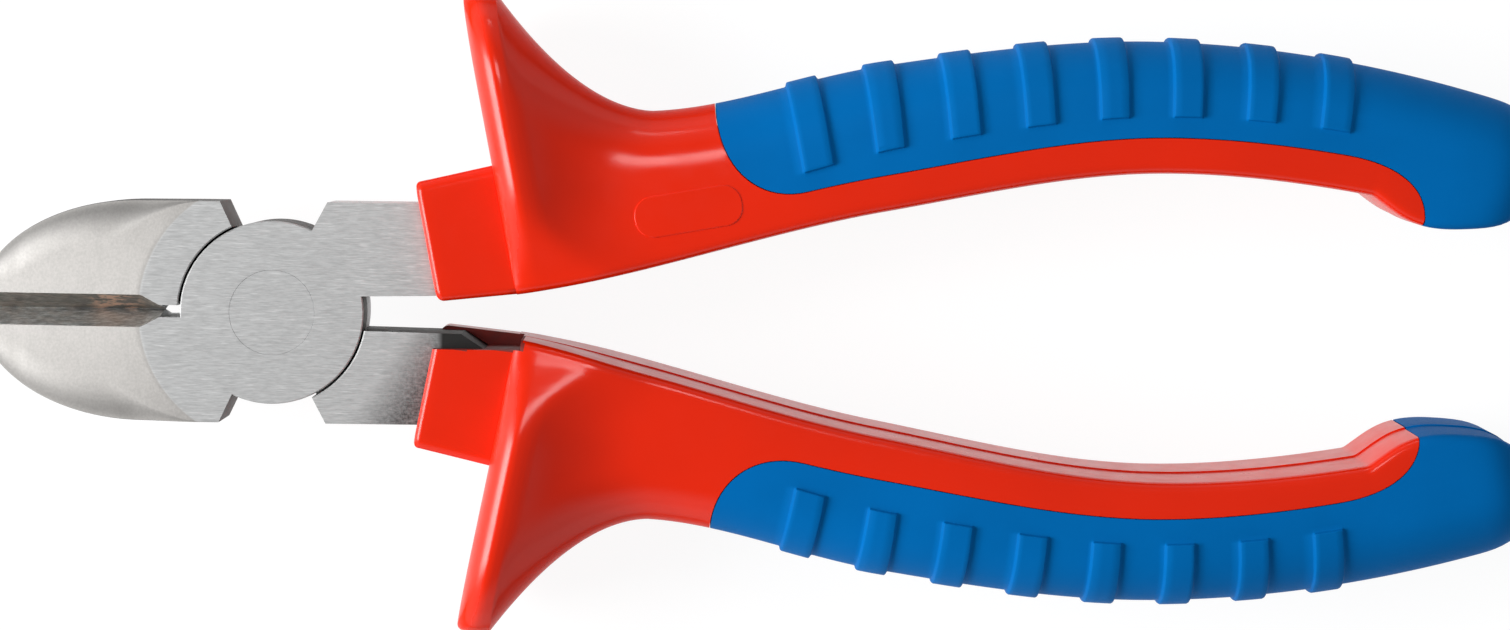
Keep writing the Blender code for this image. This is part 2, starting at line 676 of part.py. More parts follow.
def build():
    """Model each piece once and place both copies of what the tool has twice."""
    clear_scene()
    parts = bpy.data.collections.new('diagonal_cutter')
    bpy.context.scene.collection.children.link(parts)
    front = pivot_frame('front_side', False, parts)
    rear = pivot_frame('rear_side', True, parts)

    steel = material('forged_steel', STEEL, roughness=0.35, metallic=1.0)
    rivet_steel = material('rivet_steel', RIVET_STEEL, roughness=0.35, metallic=1.0)
    red = material('red_plastic', RED, roughness=0.25, metallic=0.0)
    blue = material('blue_soft_plastic', BLUE, roughness=0.55, metallic=0.0)

    masters = []
    for names, model, finish in (
            (('front_jaw_half', 'rear_jaw_half'), jaw_half(), steel),
            (('upper_handle_sleeve', 'lower_handle_sleeve'), handle_sleeve(), red),
            (('upper_soft_grip', 'lower_soft_grip'), soft_grip(), blue)):
        for name, frame in zip(names, (front, rear)):
            place(name, model, frame, finish, parts)
        masters.append(model)
    rivet = rivet_form(0.0)
    place('pivot_rivet', rivet, front, rivet_steel, parts)
    masters.append(rivet)
    for master in masters:
        bpy.data.objects.remove(master, do_unlink=True)
    bpy.context.view_layer.update()


build()
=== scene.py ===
# %% [markdown]
# # A diagonal cutter, dressed piece by piece
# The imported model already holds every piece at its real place: two forgings, a rivet, two red sleeves and
# two blue grips. It is loaded first and stays untouched, because the joints and the sizes come from it.
# What follows models a finer piece over each of its solids, so that edges, ribs and hollows catch the light.

# %% Load the frame
import math

import bmesh
import bpy
from mathutils import Matrix, Vector


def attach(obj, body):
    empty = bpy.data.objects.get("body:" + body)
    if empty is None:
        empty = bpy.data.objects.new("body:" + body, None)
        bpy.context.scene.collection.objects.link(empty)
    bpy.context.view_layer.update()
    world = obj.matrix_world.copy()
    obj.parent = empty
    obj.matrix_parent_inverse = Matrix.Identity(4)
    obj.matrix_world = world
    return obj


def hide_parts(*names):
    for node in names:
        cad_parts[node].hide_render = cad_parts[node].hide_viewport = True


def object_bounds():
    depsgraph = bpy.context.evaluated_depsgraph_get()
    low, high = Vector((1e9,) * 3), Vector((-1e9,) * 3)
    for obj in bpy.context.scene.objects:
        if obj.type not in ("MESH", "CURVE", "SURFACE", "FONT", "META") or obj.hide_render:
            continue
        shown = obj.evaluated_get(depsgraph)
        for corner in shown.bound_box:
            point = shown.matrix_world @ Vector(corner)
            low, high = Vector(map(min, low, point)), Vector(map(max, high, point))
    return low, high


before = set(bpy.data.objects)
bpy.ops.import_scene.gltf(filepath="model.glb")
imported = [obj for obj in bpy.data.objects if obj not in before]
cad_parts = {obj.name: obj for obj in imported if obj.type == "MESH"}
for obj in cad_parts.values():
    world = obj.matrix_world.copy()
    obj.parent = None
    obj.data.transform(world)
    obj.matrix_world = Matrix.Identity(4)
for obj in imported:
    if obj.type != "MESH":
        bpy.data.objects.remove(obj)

MM = 0.001
CAD_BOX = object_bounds()
print("nodes:", sorted(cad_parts))
print("box in mm:", [[round(value / MM, 1) for value in corner] for corner in CAD_BOX])

# %% [markdown]
# ## The camera
# The photograph looks almost straight down on the tool, from a point over the middle of the upper handle.
# A camera could be turned by hand until the outlines agree. Here its place, its target and its lens come from
# lines that are known to be parallel on the tool, and a small roll lets the tool fall to the right.

# %% Place the camera
EYE = Vector((46.5, 22.4, 435.3)) * MM
TARGET = Vector((55.5, 0.15, 5.25)) * MM
LENS = 88.3
SENSOR = 36.0
ROLL = 0.0127
CLIP_START = 10 * MM

bpy.ops.object.select_all(action='DESELECT')
bpy.ops.object.camera_add(location=EYE)
camera = bpy.context.object
camera.name = "photo_camera"
camera.data.lens = LENS
camera.data.sensor_width = SENSOR
camera.data.clip_start = CLIP_START
sight = (TARGET - EYE).normalized()
right = (Vector((1, 0, 0)) - sight * sight.x).normalized()
up = right.cross(sight)
turn = Matrix((right, up, -sight)).transposed() @ Matrix.Rotation(ROLL, 3, 'Z')
camera.rotation_euler = turn.to_euler()
bpy.context.scene.camera = camera
bpy.context.scene.view_settings.view_transform = 'Standard'
print("camera looks along", [round(value, 3) for value in sight])

# %% [markdown]
# ## Two ways of working that every piece shares
# Long bodies such as handles and jaws are drawn as a row of sections. By hand one would lay a circle on the
# first section, then extrude it to the next section, reshape it there, and go on to the end. `lofted` does this.
# Holes, slots and joins are made with the Boolean modifier, which is applied at once, so a piece ends as one mesh.

# %% Helpers: loft and combine
MID = CAD_BOX[0][2] + (CAD_BOX[1][2] - CAD_BOX[0][2]) / 2
WELD = 0.0005 * MM


def lofted(name, rings):
    """Lay a filled circle on the first ring, then extrude it from ring to ring and reshape it each time."""
    bpy.ops.object.select_all(action='DESELECT')
    bpy.ops.mesh.primitive_circle_add(vertices=len(rings[0]), fill_type='NGON')
    piece = bpy.context.object
    piece.name = name
    piece.data.name = name
    bpy.ops.object.mode_set(mode='EDIT')
    mesh = bmesh.from_edit_mesh(piece.data)
    order = mesh.verts.layers.int.new("order")
    for k, vert in enumerate(mesh.verts):
        vert[order] = k
        vert.co = rings[0][k]
    for ring in rings[1:]:
        bpy.ops.mesh.extrude_region()
        mesh = bmesh.from_edit_mesh(piece.data)
        order = mesh.verts.layers.int["order"]
        for vert in mesh.verts:
            if vert.select:
                vert.co = ring[vert[order]]
    bpy.ops.mesh.select_all(action='SELECT')
    bpy.ops.mesh.remove_doubles(threshold=WELD)
    bpy.ops.mesh.normals_make_consistent(inside=False)
    bpy.ops.object.mode_set(mode='OBJECT')
    piece.data.attributes.remove(piece.data.attributes["order"])
    return piece


def pick(piece):
    """Make a piece the only selected object and the active one."""
    bpy.ops.object.select_all(action='DESELECT')
    piece.select_set(True)
    bpy.context.view_layer.objects.active = piece


def combine(piece, tool, operation='DIFFERENCE'):
    """Cut, join or intersect a piece with a tool, which is used up."""
    pick(piece)
    step = piece.modifiers.new(operation.lower(), 'BOOLEAN')
    step.operation = operation
    step.solver = 'EXACT'
    step.object = tool
    bpy.ops.object.modifier_apply(modifier=step.name)
    bpy.data.objects.remove(tool, do_unlink=True)


def plate(name, outline, low, high):
    """Extrude a closed outline, seen from above, between two heights about the joint's mid-plane."""
    return lofted(name, [[Vector((x, y, MID + z)) for x, y in outline] for z in (low, high)])


def lathe(name, profile, count):
    """Stack circles about the pivot axis: the profile is a row of (radius, height)."""
    rings = []
    for radius, height in profile:
        angles = [2 * math.pi * k / count for k in range(count)]
        rings.append([Vector((radius * math.cos(a), radius * math.sin(a), MID + height)) for a in angles])
    return lofted(name, rings)


def turned_over(piece, name):
    """Copy a piece with its own mesh and turn the copy over about the tool's long axis."""
    pick(piece)
    bpy.ops.object.duplicate()
    copy = bpy.context.object
    copy.name = name
    copy.data.name = name
    copy.rotation_euler.x = math.pi
    copy.location.z = 2 * MID
    bpy.ops.object.transform_apply(location=True, rotation=True, scale=True)
    return copy


def smooth(piece, degrees):
    """Shade a piece smooth, apart from edges sharper than an angle."""
    pick(piece)
    bpy.ops.object.shade_smooth_by_angle(angle=math.radians(degrees))


print("mid-plane at", round(MID / MM, 2), "mm")

# %% [markdown]
# ## The jaw
# A jaw is forged, then its faces are ground: flat beside the pivot, and sloping away beyond a circle about it,
# with a soft roll at the outer rim. The cutting edge is a steep bevel of even width that runs out to a point.
# A box with bevels would miss the roll, so the jaw is lofted. Its sections bend along the circle of the grind,
# so that the line between the flat and the slope lies on one of them and stays crisp.

# %% Draw the jaw's sections
HALF_JOINT = 5.25 * MM
HALF_HEAD = 12.7 * MM
NOSE_LENGTH = 19.1 * MM
JAW_REACH = 34.3 * MM
NOSE_X = NOSE_LENGTH - JAW_REACH
NOSE_FLAT = 1.2 * MM
GRIND_RADIUS = 15.2 * MM
TIP_HALF = 2.9 * MM
EDGE_Y = 0.004 * MM
EDGE_LAND = 0.03 * MM
BEVEL_WIDTH = 1.85 * MM
BEVEL_POINT = 2.3 * MM
HEEL_X = -12.8 * MM
RELIEF_Y = 0.7 * MM
RELIEF_RUN = 0.3 * MM
ROLL_WIDTH = 4.6 * MM
ROLL_DROP = 1.5 * MM
ROLL_FADE = 5 * MM
MOST_OF = 0.7
RIM = 0.15 * MM
SHOULDER = math.tan(math.radians(25.3))
NOSE_RINGS = 46
FAN_RINGS = 16
BEVEL_STEPS = 4
FACE_POINTS = 16
ROLL_STEPS = 9
RELIEF_RINGS = 8
REACH_ROUNDS = 6
RIM_SHARE = 0.995


def clamp(value):
    """Hold a value between 0 and 1."""
    return min(1.0, max(0.0, value))


def ease(value, low, high):
    """Rise smoothly from 0 at low to 1 at high."""
    t = clamp((value - low) / (high - low))
    return t * t * (3 - 2 * t)


def quarter(count):
    """The angles of a quarter turn in equal steps."""
    return [math.pi / 2 * k / count for k in range(count + 1)]


def nose_outline(x):
    """Half width of the head at x: straight beside the pivot, then a quarter of an ellipse."""
    if x > NOSE_X:
        return HALF_HEAD
    return HALF_HEAD * math.sqrt(max(0.0, 1 - ((NOSE_X - x) / NOSE_LENGTH) ** 2))


def ground_height(x, y):
    """Height of the jaw's face over the mid-plane."""
    share = (math.hypot(x, y) - GRIND_RADIUS) / (JAW_REACH - GRIND_RADIUS)
    return HALF_JOINT - (HALF_JOINT - TIP_HALF) * max(0.0, share)


def jaw_ring(path, edge, rim):
    """One section of the lower jaw. path gives X for each distance from the middle line."""
    reach = nose_outline(path(0.0))
    for _ in range(REACH_ROUNDS):
        reach = max(NOSE_FLAT, nose_outline(path(reach)))
    reach -= rim
    bevel = 0.0
    if edge == EDGE_Y:
        bevel = RELIEF_Y + (BEVEL_WIDTH - RELIEF_Y) * clamp((HEEL_X - path(edge)) / BEVEL_POINT)
        bevel = min(bevel, MOST_OF * (reach - edge))
    top = edge + bevel
    ground = ease(math.hypot(path(reach), reach), GRIND_RADIUS, GRIND_RADIUS + ROLL_FADE)
    roll = min(ROLL_WIDTH * ground + RIM, MOST_OF * (reach - top))
    drop = ROLL_DROP * ground + RIM
    half = []
    for k in range(BEVEL_STEPS):
        t = k / BEVEL_STEPS
        height = ground_height(path(top), top) - rim
        half.append((edge + bevel * t, EDGE_LAND + (height - EDGE_LAND) * t))
    for k in range(FACE_POINTS):
        y = top + (reach - roll - top) * k / FACE_POINTS
        half.append((y, ground_height(path(y), y) - rim))
    base = ground_height(path(reach), reach) - rim
    for angle in quarter(ROLL_STEPS):
        y = reach - roll * (1 - math.sin(angle))
        height = ground_height(path(y), y) - rim - drop * (1 - math.cos(angle))
        half.append((y, height))
    half.append((reach, 0.5 * (base - drop)))
    section = half + [(y, -z) for y, z in reversed(half)]
    return [Vector((path(y), -y, MID + z)) for y, z in section]


def jaw_rings():
    """All sections of the jaw, from the nose to the shoulder beside the pivot."""
    rings = []
    start = math.asin(NOSE_FLAT / HALF_HEAD)
    for k in range(NOSE_RINGS + 1):
        angle = start + (math.pi / 2 - start) * k / NOSE_RINGS
        x = NOSE_X - NOSE_LENGTH * math.cos(angle)
        bend = ease(x, -JAW_REACH, NOSE_X)
        rings.append(jaw_ring(
            lambda y: x + bend * (GRIND_RADIUS - math.sqrt(max(0.0, GRIND_RADIUS ** 2 - y * y))),
            EDGE_Y, 0.0))
    relief_share = (HEEL_X - NOSE_X) / -NOSE_X
    relief_end = (HEEL_X + RELIEF_RUN - NOSE_X) / -NOSE_X
    shares = [relief_share * k / RELIEF_RINGS for k in range(1, RELIEF_RINGS + 1)] + [relief_end]
    shares += [relief_end + (1 - relief_end) * k / FAN_RINGS for k in range(1, FAN_RINGS)] + [RIM_SHARE, 1.0]
    for share in shares:
        edge = EDGE_Y if share <= relief_share else RELIEF_Y
        rings.append(jaw_ring(
            lambda y: -math.sqrt(GRIND_RADIUS ** 2 - y * y) * (1 - share) - y * SHOULDER * share,
            edge, RIM if share == 1.0 else 0.0))
    return rings


forging = lofted("front_forging", jaw_rings())
print("jaw:", len(forging.data.polygons), "faces")

# %% [markdown]
# ## Disc, tang and rivet hole
# Behind the jaw the forging is a half-thick disc, then a tang that runs into the handle. These are flat plates
# with small chamfers, so they start as extruded outlines whose top and bottom edges are bevelled. The other
# half's disc needs a round recess, a hair wider than the disc, and the rivet a countersunk hole.

# %% Join the disc and the tang to the jaw
DISC_RADIUS = 10.5 * MM
DISC_GAP = 0.26 * MM
LAP_GAP = 0.3 * MM
CHAMFER = 0.14 * MM
DISC_STEPS = 192
HEAD_RADIUS = 4.86 * MM
SHANK_RADIUS = 3.2 * MM
HEAD_DEPTH = 1.6 * MM
RIVET_FIT = 0.035 * MM
TANG_OUTLINE = (
    (3.0, 4.0), (4.45, 9.3), (6.25, 12.7), (27.0, 12.7), (27.0, 5.6), (21.7, 2.2), (9.0, 1.95), (5.0, 1.95))


def in_mm(outline):
    """Turn an outline in millimetres into metres."""
    return [(x * MM, y * MM) for x, y in outline]


def chamfer_faces(piece, width):
    """Bevel the edges all round the top and bottom faces of a plate."""
    pick(piece)
    bpy.ops.object.mode_set(mode='EDIT')
    bpy.ops.mesh.select_all(action='DESELECT')
    mesh = bmesh.from_edit_mesh(piece.data)
    for edge in mesh.edges:
        caps = [face for face in edge.link_faces if abs(face.normal.z) > 0.9]
        edge.select = len(caps) == 1
    bmesh.update_edit_mesh(piece.data)
    bpy.ops.mesh.bevel(offset=width, segments=2, affect='EDGES')
    bpy.ops.object.mode_set(mode='OBJECT')


disc = lathe("disc", [
    (DISC_RADIUS, LAP_GAP / 2), (DISC_RADIUS, HALF_JOINT - CHAMFER), (DISC_RADIUS - CHAMFER, HALF_JOINT)], DISC_STEPS)
tang = plate("tang", in_mm(TANG_OUTLINE), -HALF_JOINT, HALF_JOINT)
chamfer_faces(tang, CHAMFER)
combine(forging, disc, 'UNION')
combine(forging, tang, 'UNION')
recess = lathe("recess", [
    (DISC_RADIUS + DISC_GAP + 2 * CHAMFER, -HALF_JOINT - CHAMFER), (DISC_RADIUS + DISC_GAP, -HALF_JOINT + CHAMFER),
    (DISC_RADIUS + DISC_GAP, LAP_GAP / 2)], DISC_STEPS)
combine(forging, recess)
print("forging:", len(forging.data.polygons), "faces")


# %% Make the rivet and its hole
def rivet_profile(grow, over):
    """The rivet's outline from end to end, grown by a fit and carried past the faces by over."""
    neck = HALF_JOINT - HEAD_DEPTH
    top = [(SHANK_RADIUS + grow, neck), (HEAD_RADIUS + grow, HALF_JOINT), (HEAD_RADIUS + grow, HALF_JOINT + over)]
    if not over:
        top = top[:2]
    return [(radius, -height) for radius, height in reversed(top)] + top


combine(forging, lathe("rivet_hole", rivet_profile(RIVET_FIT, MM), DISC_STEPS))
rivet = lathe("rivet", rivet_profile(0.0, 0.0), DISC_STEPS)
print("rivet:", len(rivet.data.polygons), "faces")

# %% [markdown]
# ## The handle's form
# A handle is a long curved bar. Its inner and outer sides are drawn as smooth curves through a few measured
# points. Each section between them has an inner wall that leans a little and carries a fine mould ledge, slightly
# crowned faces and a round outer side. At the front the form narrows to a square collar, and between the two
# stands the finger guard.

# %% Curves and sections of the handle
COLLAR_FRONT = 19.3 * MM
COLLAR_LEAN = 0.195
COLLAR_INNER = 1.65 * MM
COLLAR_OUTER = 15.3 * MM
COLLAR_RISE = 1.9 * MM
COLLAR_HALF = 7.65 * MM
COLLAR_EDGE = 0.9 * MM
GUARD_FRONT = 28.6 * MM
GUARD_INNER = 2.55 * MM
GUARD_LEAN = 0.2
GUARD_REACH = 36.8 * MM
GUARD_HALF = 12.0 * MM
WAIST_X = 43.4 * MM
WAIST_OUTER = 23.7 * MM
WAIST_HALF = 8.2 * MM
BEND_X = 70.0 * MM
PEAK_X = 102.0 * MM
HOOK_X = 125.8 * MM
HOOK_END = 129.4 * MM
END_START = 139.5 * MM
HANDLE_END = 147.54 * MM
GRIP_HALF = 8.7 * MM
INNER_LINE = ((GUARD_FRONT, GUARD_INNER), (BEND_X, 12.5 * MM), (PEAK_X, 17.3 * MM), (HOOK_X, 15.1 * MM))
INNER_SLOPES = (0.15, -0.17)
HOOK_LINE = ((HOOK_X, 15.1 * MM), (HOOK_END, 12.6 * MM), (END_START, 11.5 * MM))
OUTER_LINE = ((WAIST_X, WAIST_OUTER), (BEND_X, 29.3 * MM), (PEAK_X, 32.5 * MM), (END_START, 26.9 * MM))
OUTER_SLOPES = (0.05, -0.28)
INNER_ROUND = 1.2 * MM
OUTER_ROUND = 7.0 * MM
OUTER_FLAT = 0.7 * MM
CROWN = 0.16 * MM
WALL_INSET = 0.75 * MM
COLLAR_INSET = 0.1 * MM
LEDGE = (0.35, 0.6)
CORNER_STEPS = 5
FACE_STEPS = 10
OUTER_STEPS = 10
RIB_EDGE = ((-0.2 * MM, 0.0), (-0.08 * MM, 0.15), (0.08 * MM, 0.85), (0.2 * MM, 1.0))


def curve(points, x, start_slope=None, end_slope=None):
    """Read a smooth curve through a few (x, y) points, straight beyond its ends."""
    slopes = [(b[1] - a[1]) / (b[0] - a[0]) for a, b in zip(points, points[1:])]
    tangents = [slopes[0] if start_slope is None else start_slope]
    for k in range(1, len(slopes)):
        before = points[k][0] - points[k - 1][0]
        after = points[k + 1][0] - points[k][0]
        tangents.append((slopes[k - 1] * after + slopes[k] * before) / (before + after))
    tangents.append(slopes[-1] if end_slope is None else end_slope)
    if x <= points[0][0]:
        return points[0][1] + (x - points[0][0]) * tangents[0]
    if x >= points[-1][0]:
        return points[-1][1] + (x - points[-1][0]) * tangents[-1]
    k = 0
    while x > points[k + 1][0]:
        k += 1
    run = points[k + 1][0] - points[k][0]
    t = (x - points[k][0]) / run
    start = points[k][1] * (1 + 2 * t) * (1 - t) ** 2 + tangents[k] * run * t * (1 - t) ** 2
    return start + points[k + 1][1] * t * t * (3 - 2 * t) + tangents[k + 1] * run * t * t * (t - 1)


def inner_side(x):
    """Distance of the handle's inner wall from the middle line."""
    if x < HOOK_X:
        return curve(INNER_LINE, x, *INNER_SLOPES)
    return curve(HOOK_LINE, x, None, 0.0)


def outer_side(x):
    """Distance of the handle's outer side from the middle line, without the guard."""
    return curve(OUTER_LINE, x, *OUTER_SLOPES)


def half_thickness(x):
    """Half of the handle's thickness behind the guard."""
    return curve([(WAIST_X, WAIST_HALF), (PEAK_X, GRIP_HALF), (END_START, GRIP_HALF)], x)


def section(width, level, round_in, round_out, rib_lines, lift=0.0, inset=COLLAR_INSET, shrink=1.0):
    """The closed row of (across, height) points of one cross-section. level gives the face's height, lift raises
    what lies outside the rib line of each face, and the inner wall leans in by inset towards the rear face."""
    end = width - round_out[0]
    halves = []
    for rib_line, wall in zip(rib_lines, (0.0, inset)):
        start = wall + round_in
        half = []
        for angle in quarter(CORNER_STEPS):
            half.append((start - round_in * math.cos(angle), level(start) - round_in * (1 - math.sin(angle))))
        first = rib_line + RIB_EDGE[0][0] * shrink
        last = rib_line + RIB_EDGE[-1][0] * shrink
        for k in range(1, FACE_STEPS):
            across = start + (first - start) * k / FACE_STEPS
            half.append((across, level(across)))
        for step, share in RIB_EDGE:
            across = rib_line + step * shrink
            half.append((across, level(across) + lift * share))
        for k in range(1, FACE_STEPS):
            across = last + (end - last) * k / FACE_STEPS
            half.append((across, level(across) + lift))
        for angle in quarter(OUTER_STEPS):
            normal = Vector((math.sin(angle) * round_out[1], math.cos(angle) * round_out[0])).normalized()
            across = end + round_out[0] * math.sin(angle) + lift * normal.x
            half.append((across, level(end) - round_out[1] * (1 - math.cos(angle)) + lift * normal.y))
        halves.append(half)
    rear = [(across, -height) for across, height in reversed(halves[1])]
    return [(LEDGE[0] * inset, 0.0)] + halves[0] + [(width + lift, 0.0)] + rear + [(LEDGE[1] * inset, 0.0)]


def crowned(half, start, end):
    """The height of a slightly crowned face between two places across it."""
    return lambda across: half + CROWN * math.sin(math.pi * clamp((across - start) / (end - start)))


def ring(place, lean, inner, points):
    """Stand a section at its place, leaning forward by lean for each unit away from the middle line."""
    return [Vector((place - lean * (inner + across), inner + across, MID + height)) for across, height in points]


print("bend in mm:", round(inner_side(BEND_X) / MM, 1), "to", round(outer_side(BEND_X) / MM, 1))

# %% [markdown]
# ## Collar and guard
# The collar is a square socket with crisp edges. Behind it stands the guard: a flange whose front is a quarter of
# an ellipse, so that it shows one long highlight. Behind its crest a dish is sunk into the face, where a finger
# rests. The dish starts steep and flattens towards the waist, and its border curls away from the crest near the
# inner wall. The face is therefore described as one height over the mid-plane, read at every point of a section.

# %% The face around the guard
GUARD_CREST = 31.5 * MM
CREST_INNER = 7.7 * MM
CREST_FOOT = 0.5 * MM
CREST_FULL = 15.5 * MM
DISH_START = 32.3 * MM
DISH_CURL = 100.0
DISH_CURL_Y = 13.2 * MM
DISH_LENGTH = 12.0 * MM
DISH_CURVE = 2.2
DISH_SOFT = 1.25 * MM


def crest_level(y):
    """Height of the guard's crest: low at the inner wall, full beyond the collar."""
    return CREST_INNER + (GUARD_HALF - CREST_INNER) * ease(y, CREST_FOOT, CREST_FULL)


def dish_share(x, y):
    """How much of the crest's height is left at a place behind it."""
    behind = x + GUARD_LEAN * y - DISH_START - DISH_CURL * max(0.0, DISH_CURL_Y - y) ** 2
    softened = [behind + DISH_SOFT * shift for shift in (-1, -0.5, 0, 0.5, 1)]
    return sum((1 - clamp(place / DISH_LENGTH)) ** DISH_CURVE for place in softened) / len(softened)


def face_level(x, y, body):
    """Height of the face: the crest, the dish or the plain body of the grip."""
    along = x + GUARD_LEAN * y
    if along < GUARD_CREST:
        front = clamp((GUARD_CREST - along) / (GUARD_CREST - GUARD_FRONT))
        return COLLAR_HALF + (crest_level(y) - COLLAR_HALF) * math.sqrt(1 - front * front)
    return body + (crest_level(y) - body) * dish_share(x, y)


print("crest in mm:", round(crest_level(0.0) / MM, 1), "rising to", round(crest_level(CREST_FULL) / MM, 1))

# %% Sections of the collar and the guard
COLLAR_SOFT = 0.8 * MM
COLLAR_BEVEL = 1.3 * MM
ROUND_STEPS = 6
COLLAR_RINGS = 8
FRONT_RINGS = 12
CREST_RINGS = 5
SWEEP_RINGS = 44
SWEEP_CURVE = 1.85
SWEEP_LEAN = 1.5
SWEEP_FLARE = 4.0
TIP_SOFT = 0.7 * MM
TIP_TALL = 9.0 * MM
TIP_ROUND = (GUARD_REACH - COLLAR_OUTER) / 2
TIP_BACK = 25.2 * MM
FACE_SPLIT = 0.46


def square_ring(place, lean, inner, outer, half):
    """A section of the collar."""
    width = outer - inner
    points = section(width, lambda across: half, COLLAR_EDGE, (COLLAR_BEVEL,) * 2, (FACE_SPLIT * width,) * 2)
    return ring(place, lean, inner, points)


def guard_ring(place, lean, outer, tall, round_width):
    """A section of the guard or of the dish behind it."""
    inner = inner_side(place - lean * GUARD_INNER)
    width = outer - inner
    body = crowned(WAIST_HALF, INNER_ROUND, width - round_width)

    def level(across):
        y = inner + across
        return face_level(place - lean * y, y, body(across))

    tall = min(tall, level(width - round_width) - OUTER_FLAT)
    inset = COLLAR_INSET + (WALL_INSET - COLLAR_INSET) * ease(place, GUARD_FRONT, WAIST_X)
    points = section(width, level, INNER_ROUND, (round_width, tall), (FACE_SPLIT * width,) * 2, inset=inset)
    return ring(place, lean, inner, points)


def collar_rings():
    """The collar from its rounded front edge to the foot of the guard."""
    rings = []
    for angle in quarter(ROUND_STEPS)[:-1]:
        inset = COLLAR_SOFT * (1 - math.sin(angle))
        rings.append(square_ring(
            COLLAR_FRONT + COLLAR_SOFT * (1 - math.cos(angle)), COLLAR_LEAN, COLLAR_INNER + inset,
            COLLAR_OUTER - inset, COLLAR_HALF - inset))
    start = COLLAR_FRONT + COLLAR_SOFT
    for k in range(COLLAR_RINGS + 1):
        t = k / COLLAR_RINGS
        rings.append(square_ring(
            start + (GUARD_FRONT - start) * t, COLLAR_LEAN + (GUARD_LEAN - COLLAR_LEAN) * t,
            COLLAR_INNER + (GUARD_INNER - COLLAR_INNER) * t, COLLAR_OUTER + COLLAR_RISE * t, COLLAR_HALF))
    return rings


def guard_rings():
    """The guard's front and crest, and the hollow sweep behind it."""
    rings = []
    front = GUARD_CREST - GUARD_FRONT
    places = [GUARD_FRONT + front * (1 - math.cos(angle)) for angle in quarter(FRONT_RINGS)[1:]]
    rear = TIP_BACK + GUARD_LEAN * GUARD_REACH
    places += [GUARD_CREST + (rear - GUARD_CREST) * k / CREST_RINGS for k in range(1, CREST_RINGS + 1)]
    for place in places:
        near = clamp((GUARD_FRONT + TIP_SOFT - place) / TIP_SOFT)
        inset = TIP_SOFT * (1 - math.sqrt(1 - near * near))
        rings.append(guard_ring(place, GUARD_LEAN, GUARD_REACH - inset, TIP_TALL, TIP_ROUND))
    for k in range(1, SWEEP_RINGS):
        rest = 1 - k / SWEEP_RINGS
        outer = WAIST_OUTER + (GUARD_REACH - WAIST_OUTER) * rest ** SWEEP_CURVE
        lean = GUARD_LEAN * rest ** SWEEP_LEAN
        place = WAIST_X + (TIP_BACK - WAIST_X) * rest + lean * outer
        waist_tall = WAIST_HALF - OUTER_FLAT
        tall = waist_tall + (TIP_TALL - waist_tall) * rest ** SWEEP_FLARE
        rings.append(guard_ring(place, lean, outer, tall, OUTER_ROUND + (TIP_ROUND - OUTER_ROUND) * rest))
    return rings


front_sections = collar_rings() + guard_rings()
print("front sections:", len(front_sections))

# %% [markdown]
# ## The grip's sections
# Behind the guard the sections stand square to the outer side, because the ribs of the soft layer do. A rib can
# then rise and fall between two neighbouring sections, with an edge that stays straight. The end of the handle
# is rounded off by drawing its sections in towards their middle.

# %% Sections of the grip
RIB_COUNT = 8
RIB_FIRST = 60.5 * MM
RIB_PITCH = 8.82 * MM
RIB_HALF = 1.75 * MM
RIB_HEIGHT = 0.5 * MM
RIB_REACH = (9.8 * MM, 7.5 * MM)
RIB_LAST_REACH = (8.2 * MM, 7.3 * MM)
RIB_TURN = 0.75
RIB_LAST = RIB_FIRST + RIB_PITCH * (RIB_COUNT - 1)
END_RINGS = 14
END_CURVE = 3.4
END_LEAN = -0.22
END_TURN = 3 * MM
INNER_ROUNDS = 5


def grip_lean(x):
    """How far the section at x leans: with the outer side's slope, but upright at the waist, and back at the end."""
    slope = (outer_side(x + MM) - outer_side(x - MM)) / (2 * MM)
    last = ease(x, RIB_LAST + END_TURN, END_START)
    share = ease(x, WAIST_X, RIB_FIRST - RIB_HALF - MM) * (1 - last)
    return math.tan(math.atan(slope) * RIB_TURN) * share + END_LEAN * last


def rib_lift(x):
    """Height of the ribs at a place on the outer side."""
    best = 0.0
    for k in range(RIB_COUNT):
        inside = RIB_HALF - abs(x - RIB_FIRST - RIB_PITCH * k)
        for (low, low_share), (high, high_share) in zip(RIB_EDGE, RIB_EDGE[1:]):
            if low < inside <= high:
                best = low_share + (high_share - low_share) * (inside - low) / (high - low)
        if inside > RIB_EDGE[-1][0]:
            best = 1.0
    return best * RIB_HEIGHT


def grip_ring(x, lift=0.0, shrink=1.0):
    """A section of the grip whose outer side is at x."""
    lean = grip_lean(x)
    outer = outer_side(x)
    place = x + lean * outer
    inner = inner_side(x)
    for _ in range(INNER_ROUNDS):
        inner = inner_side(place - lean * inner)
    middle = (inner + outer) / 2
    reach = (outer - inner) / 2 * shrink
    half = half_thickness(x) * shrink
    back = (x - RIB_FIRST) / (RIB_LAST - RIB_FIRST)
    rib_ends = zip(RIB_REACH, RIB_LAST_REACH)
    rib_lines = [2 * reach - (first + (last - first) * back) * shrink for first, last in rib_ends]
    wall = middle - reach
    body = crowned(half, INNER_ROUND * shrink, 2 * reach - OUTER_ROUND * shrink)
    points = section(
        2 * reach, lambda across: face_level(place - lean * (wall + across), wall + across, body(across)),
        INNER_ROUND * shrink, (OUTER_ROUND * shrink, half - OUTER_FLAT * shrink), rib_lines, lift,
        WALL_INSET * shrink, shrink)
    return ring(place, lean, wall, points)


def spread(start, end, step):
    """Places from start to end, about one step apart."""
    count = max(1, round((end - start) / step))
    return [start + (end - start) * k / count for k in range(count + 1)]


print("guard rim at", round(TIP_BACK / MM, 1), "mm, ribs to", round(RIB_LAST / MM, 1), "mm")

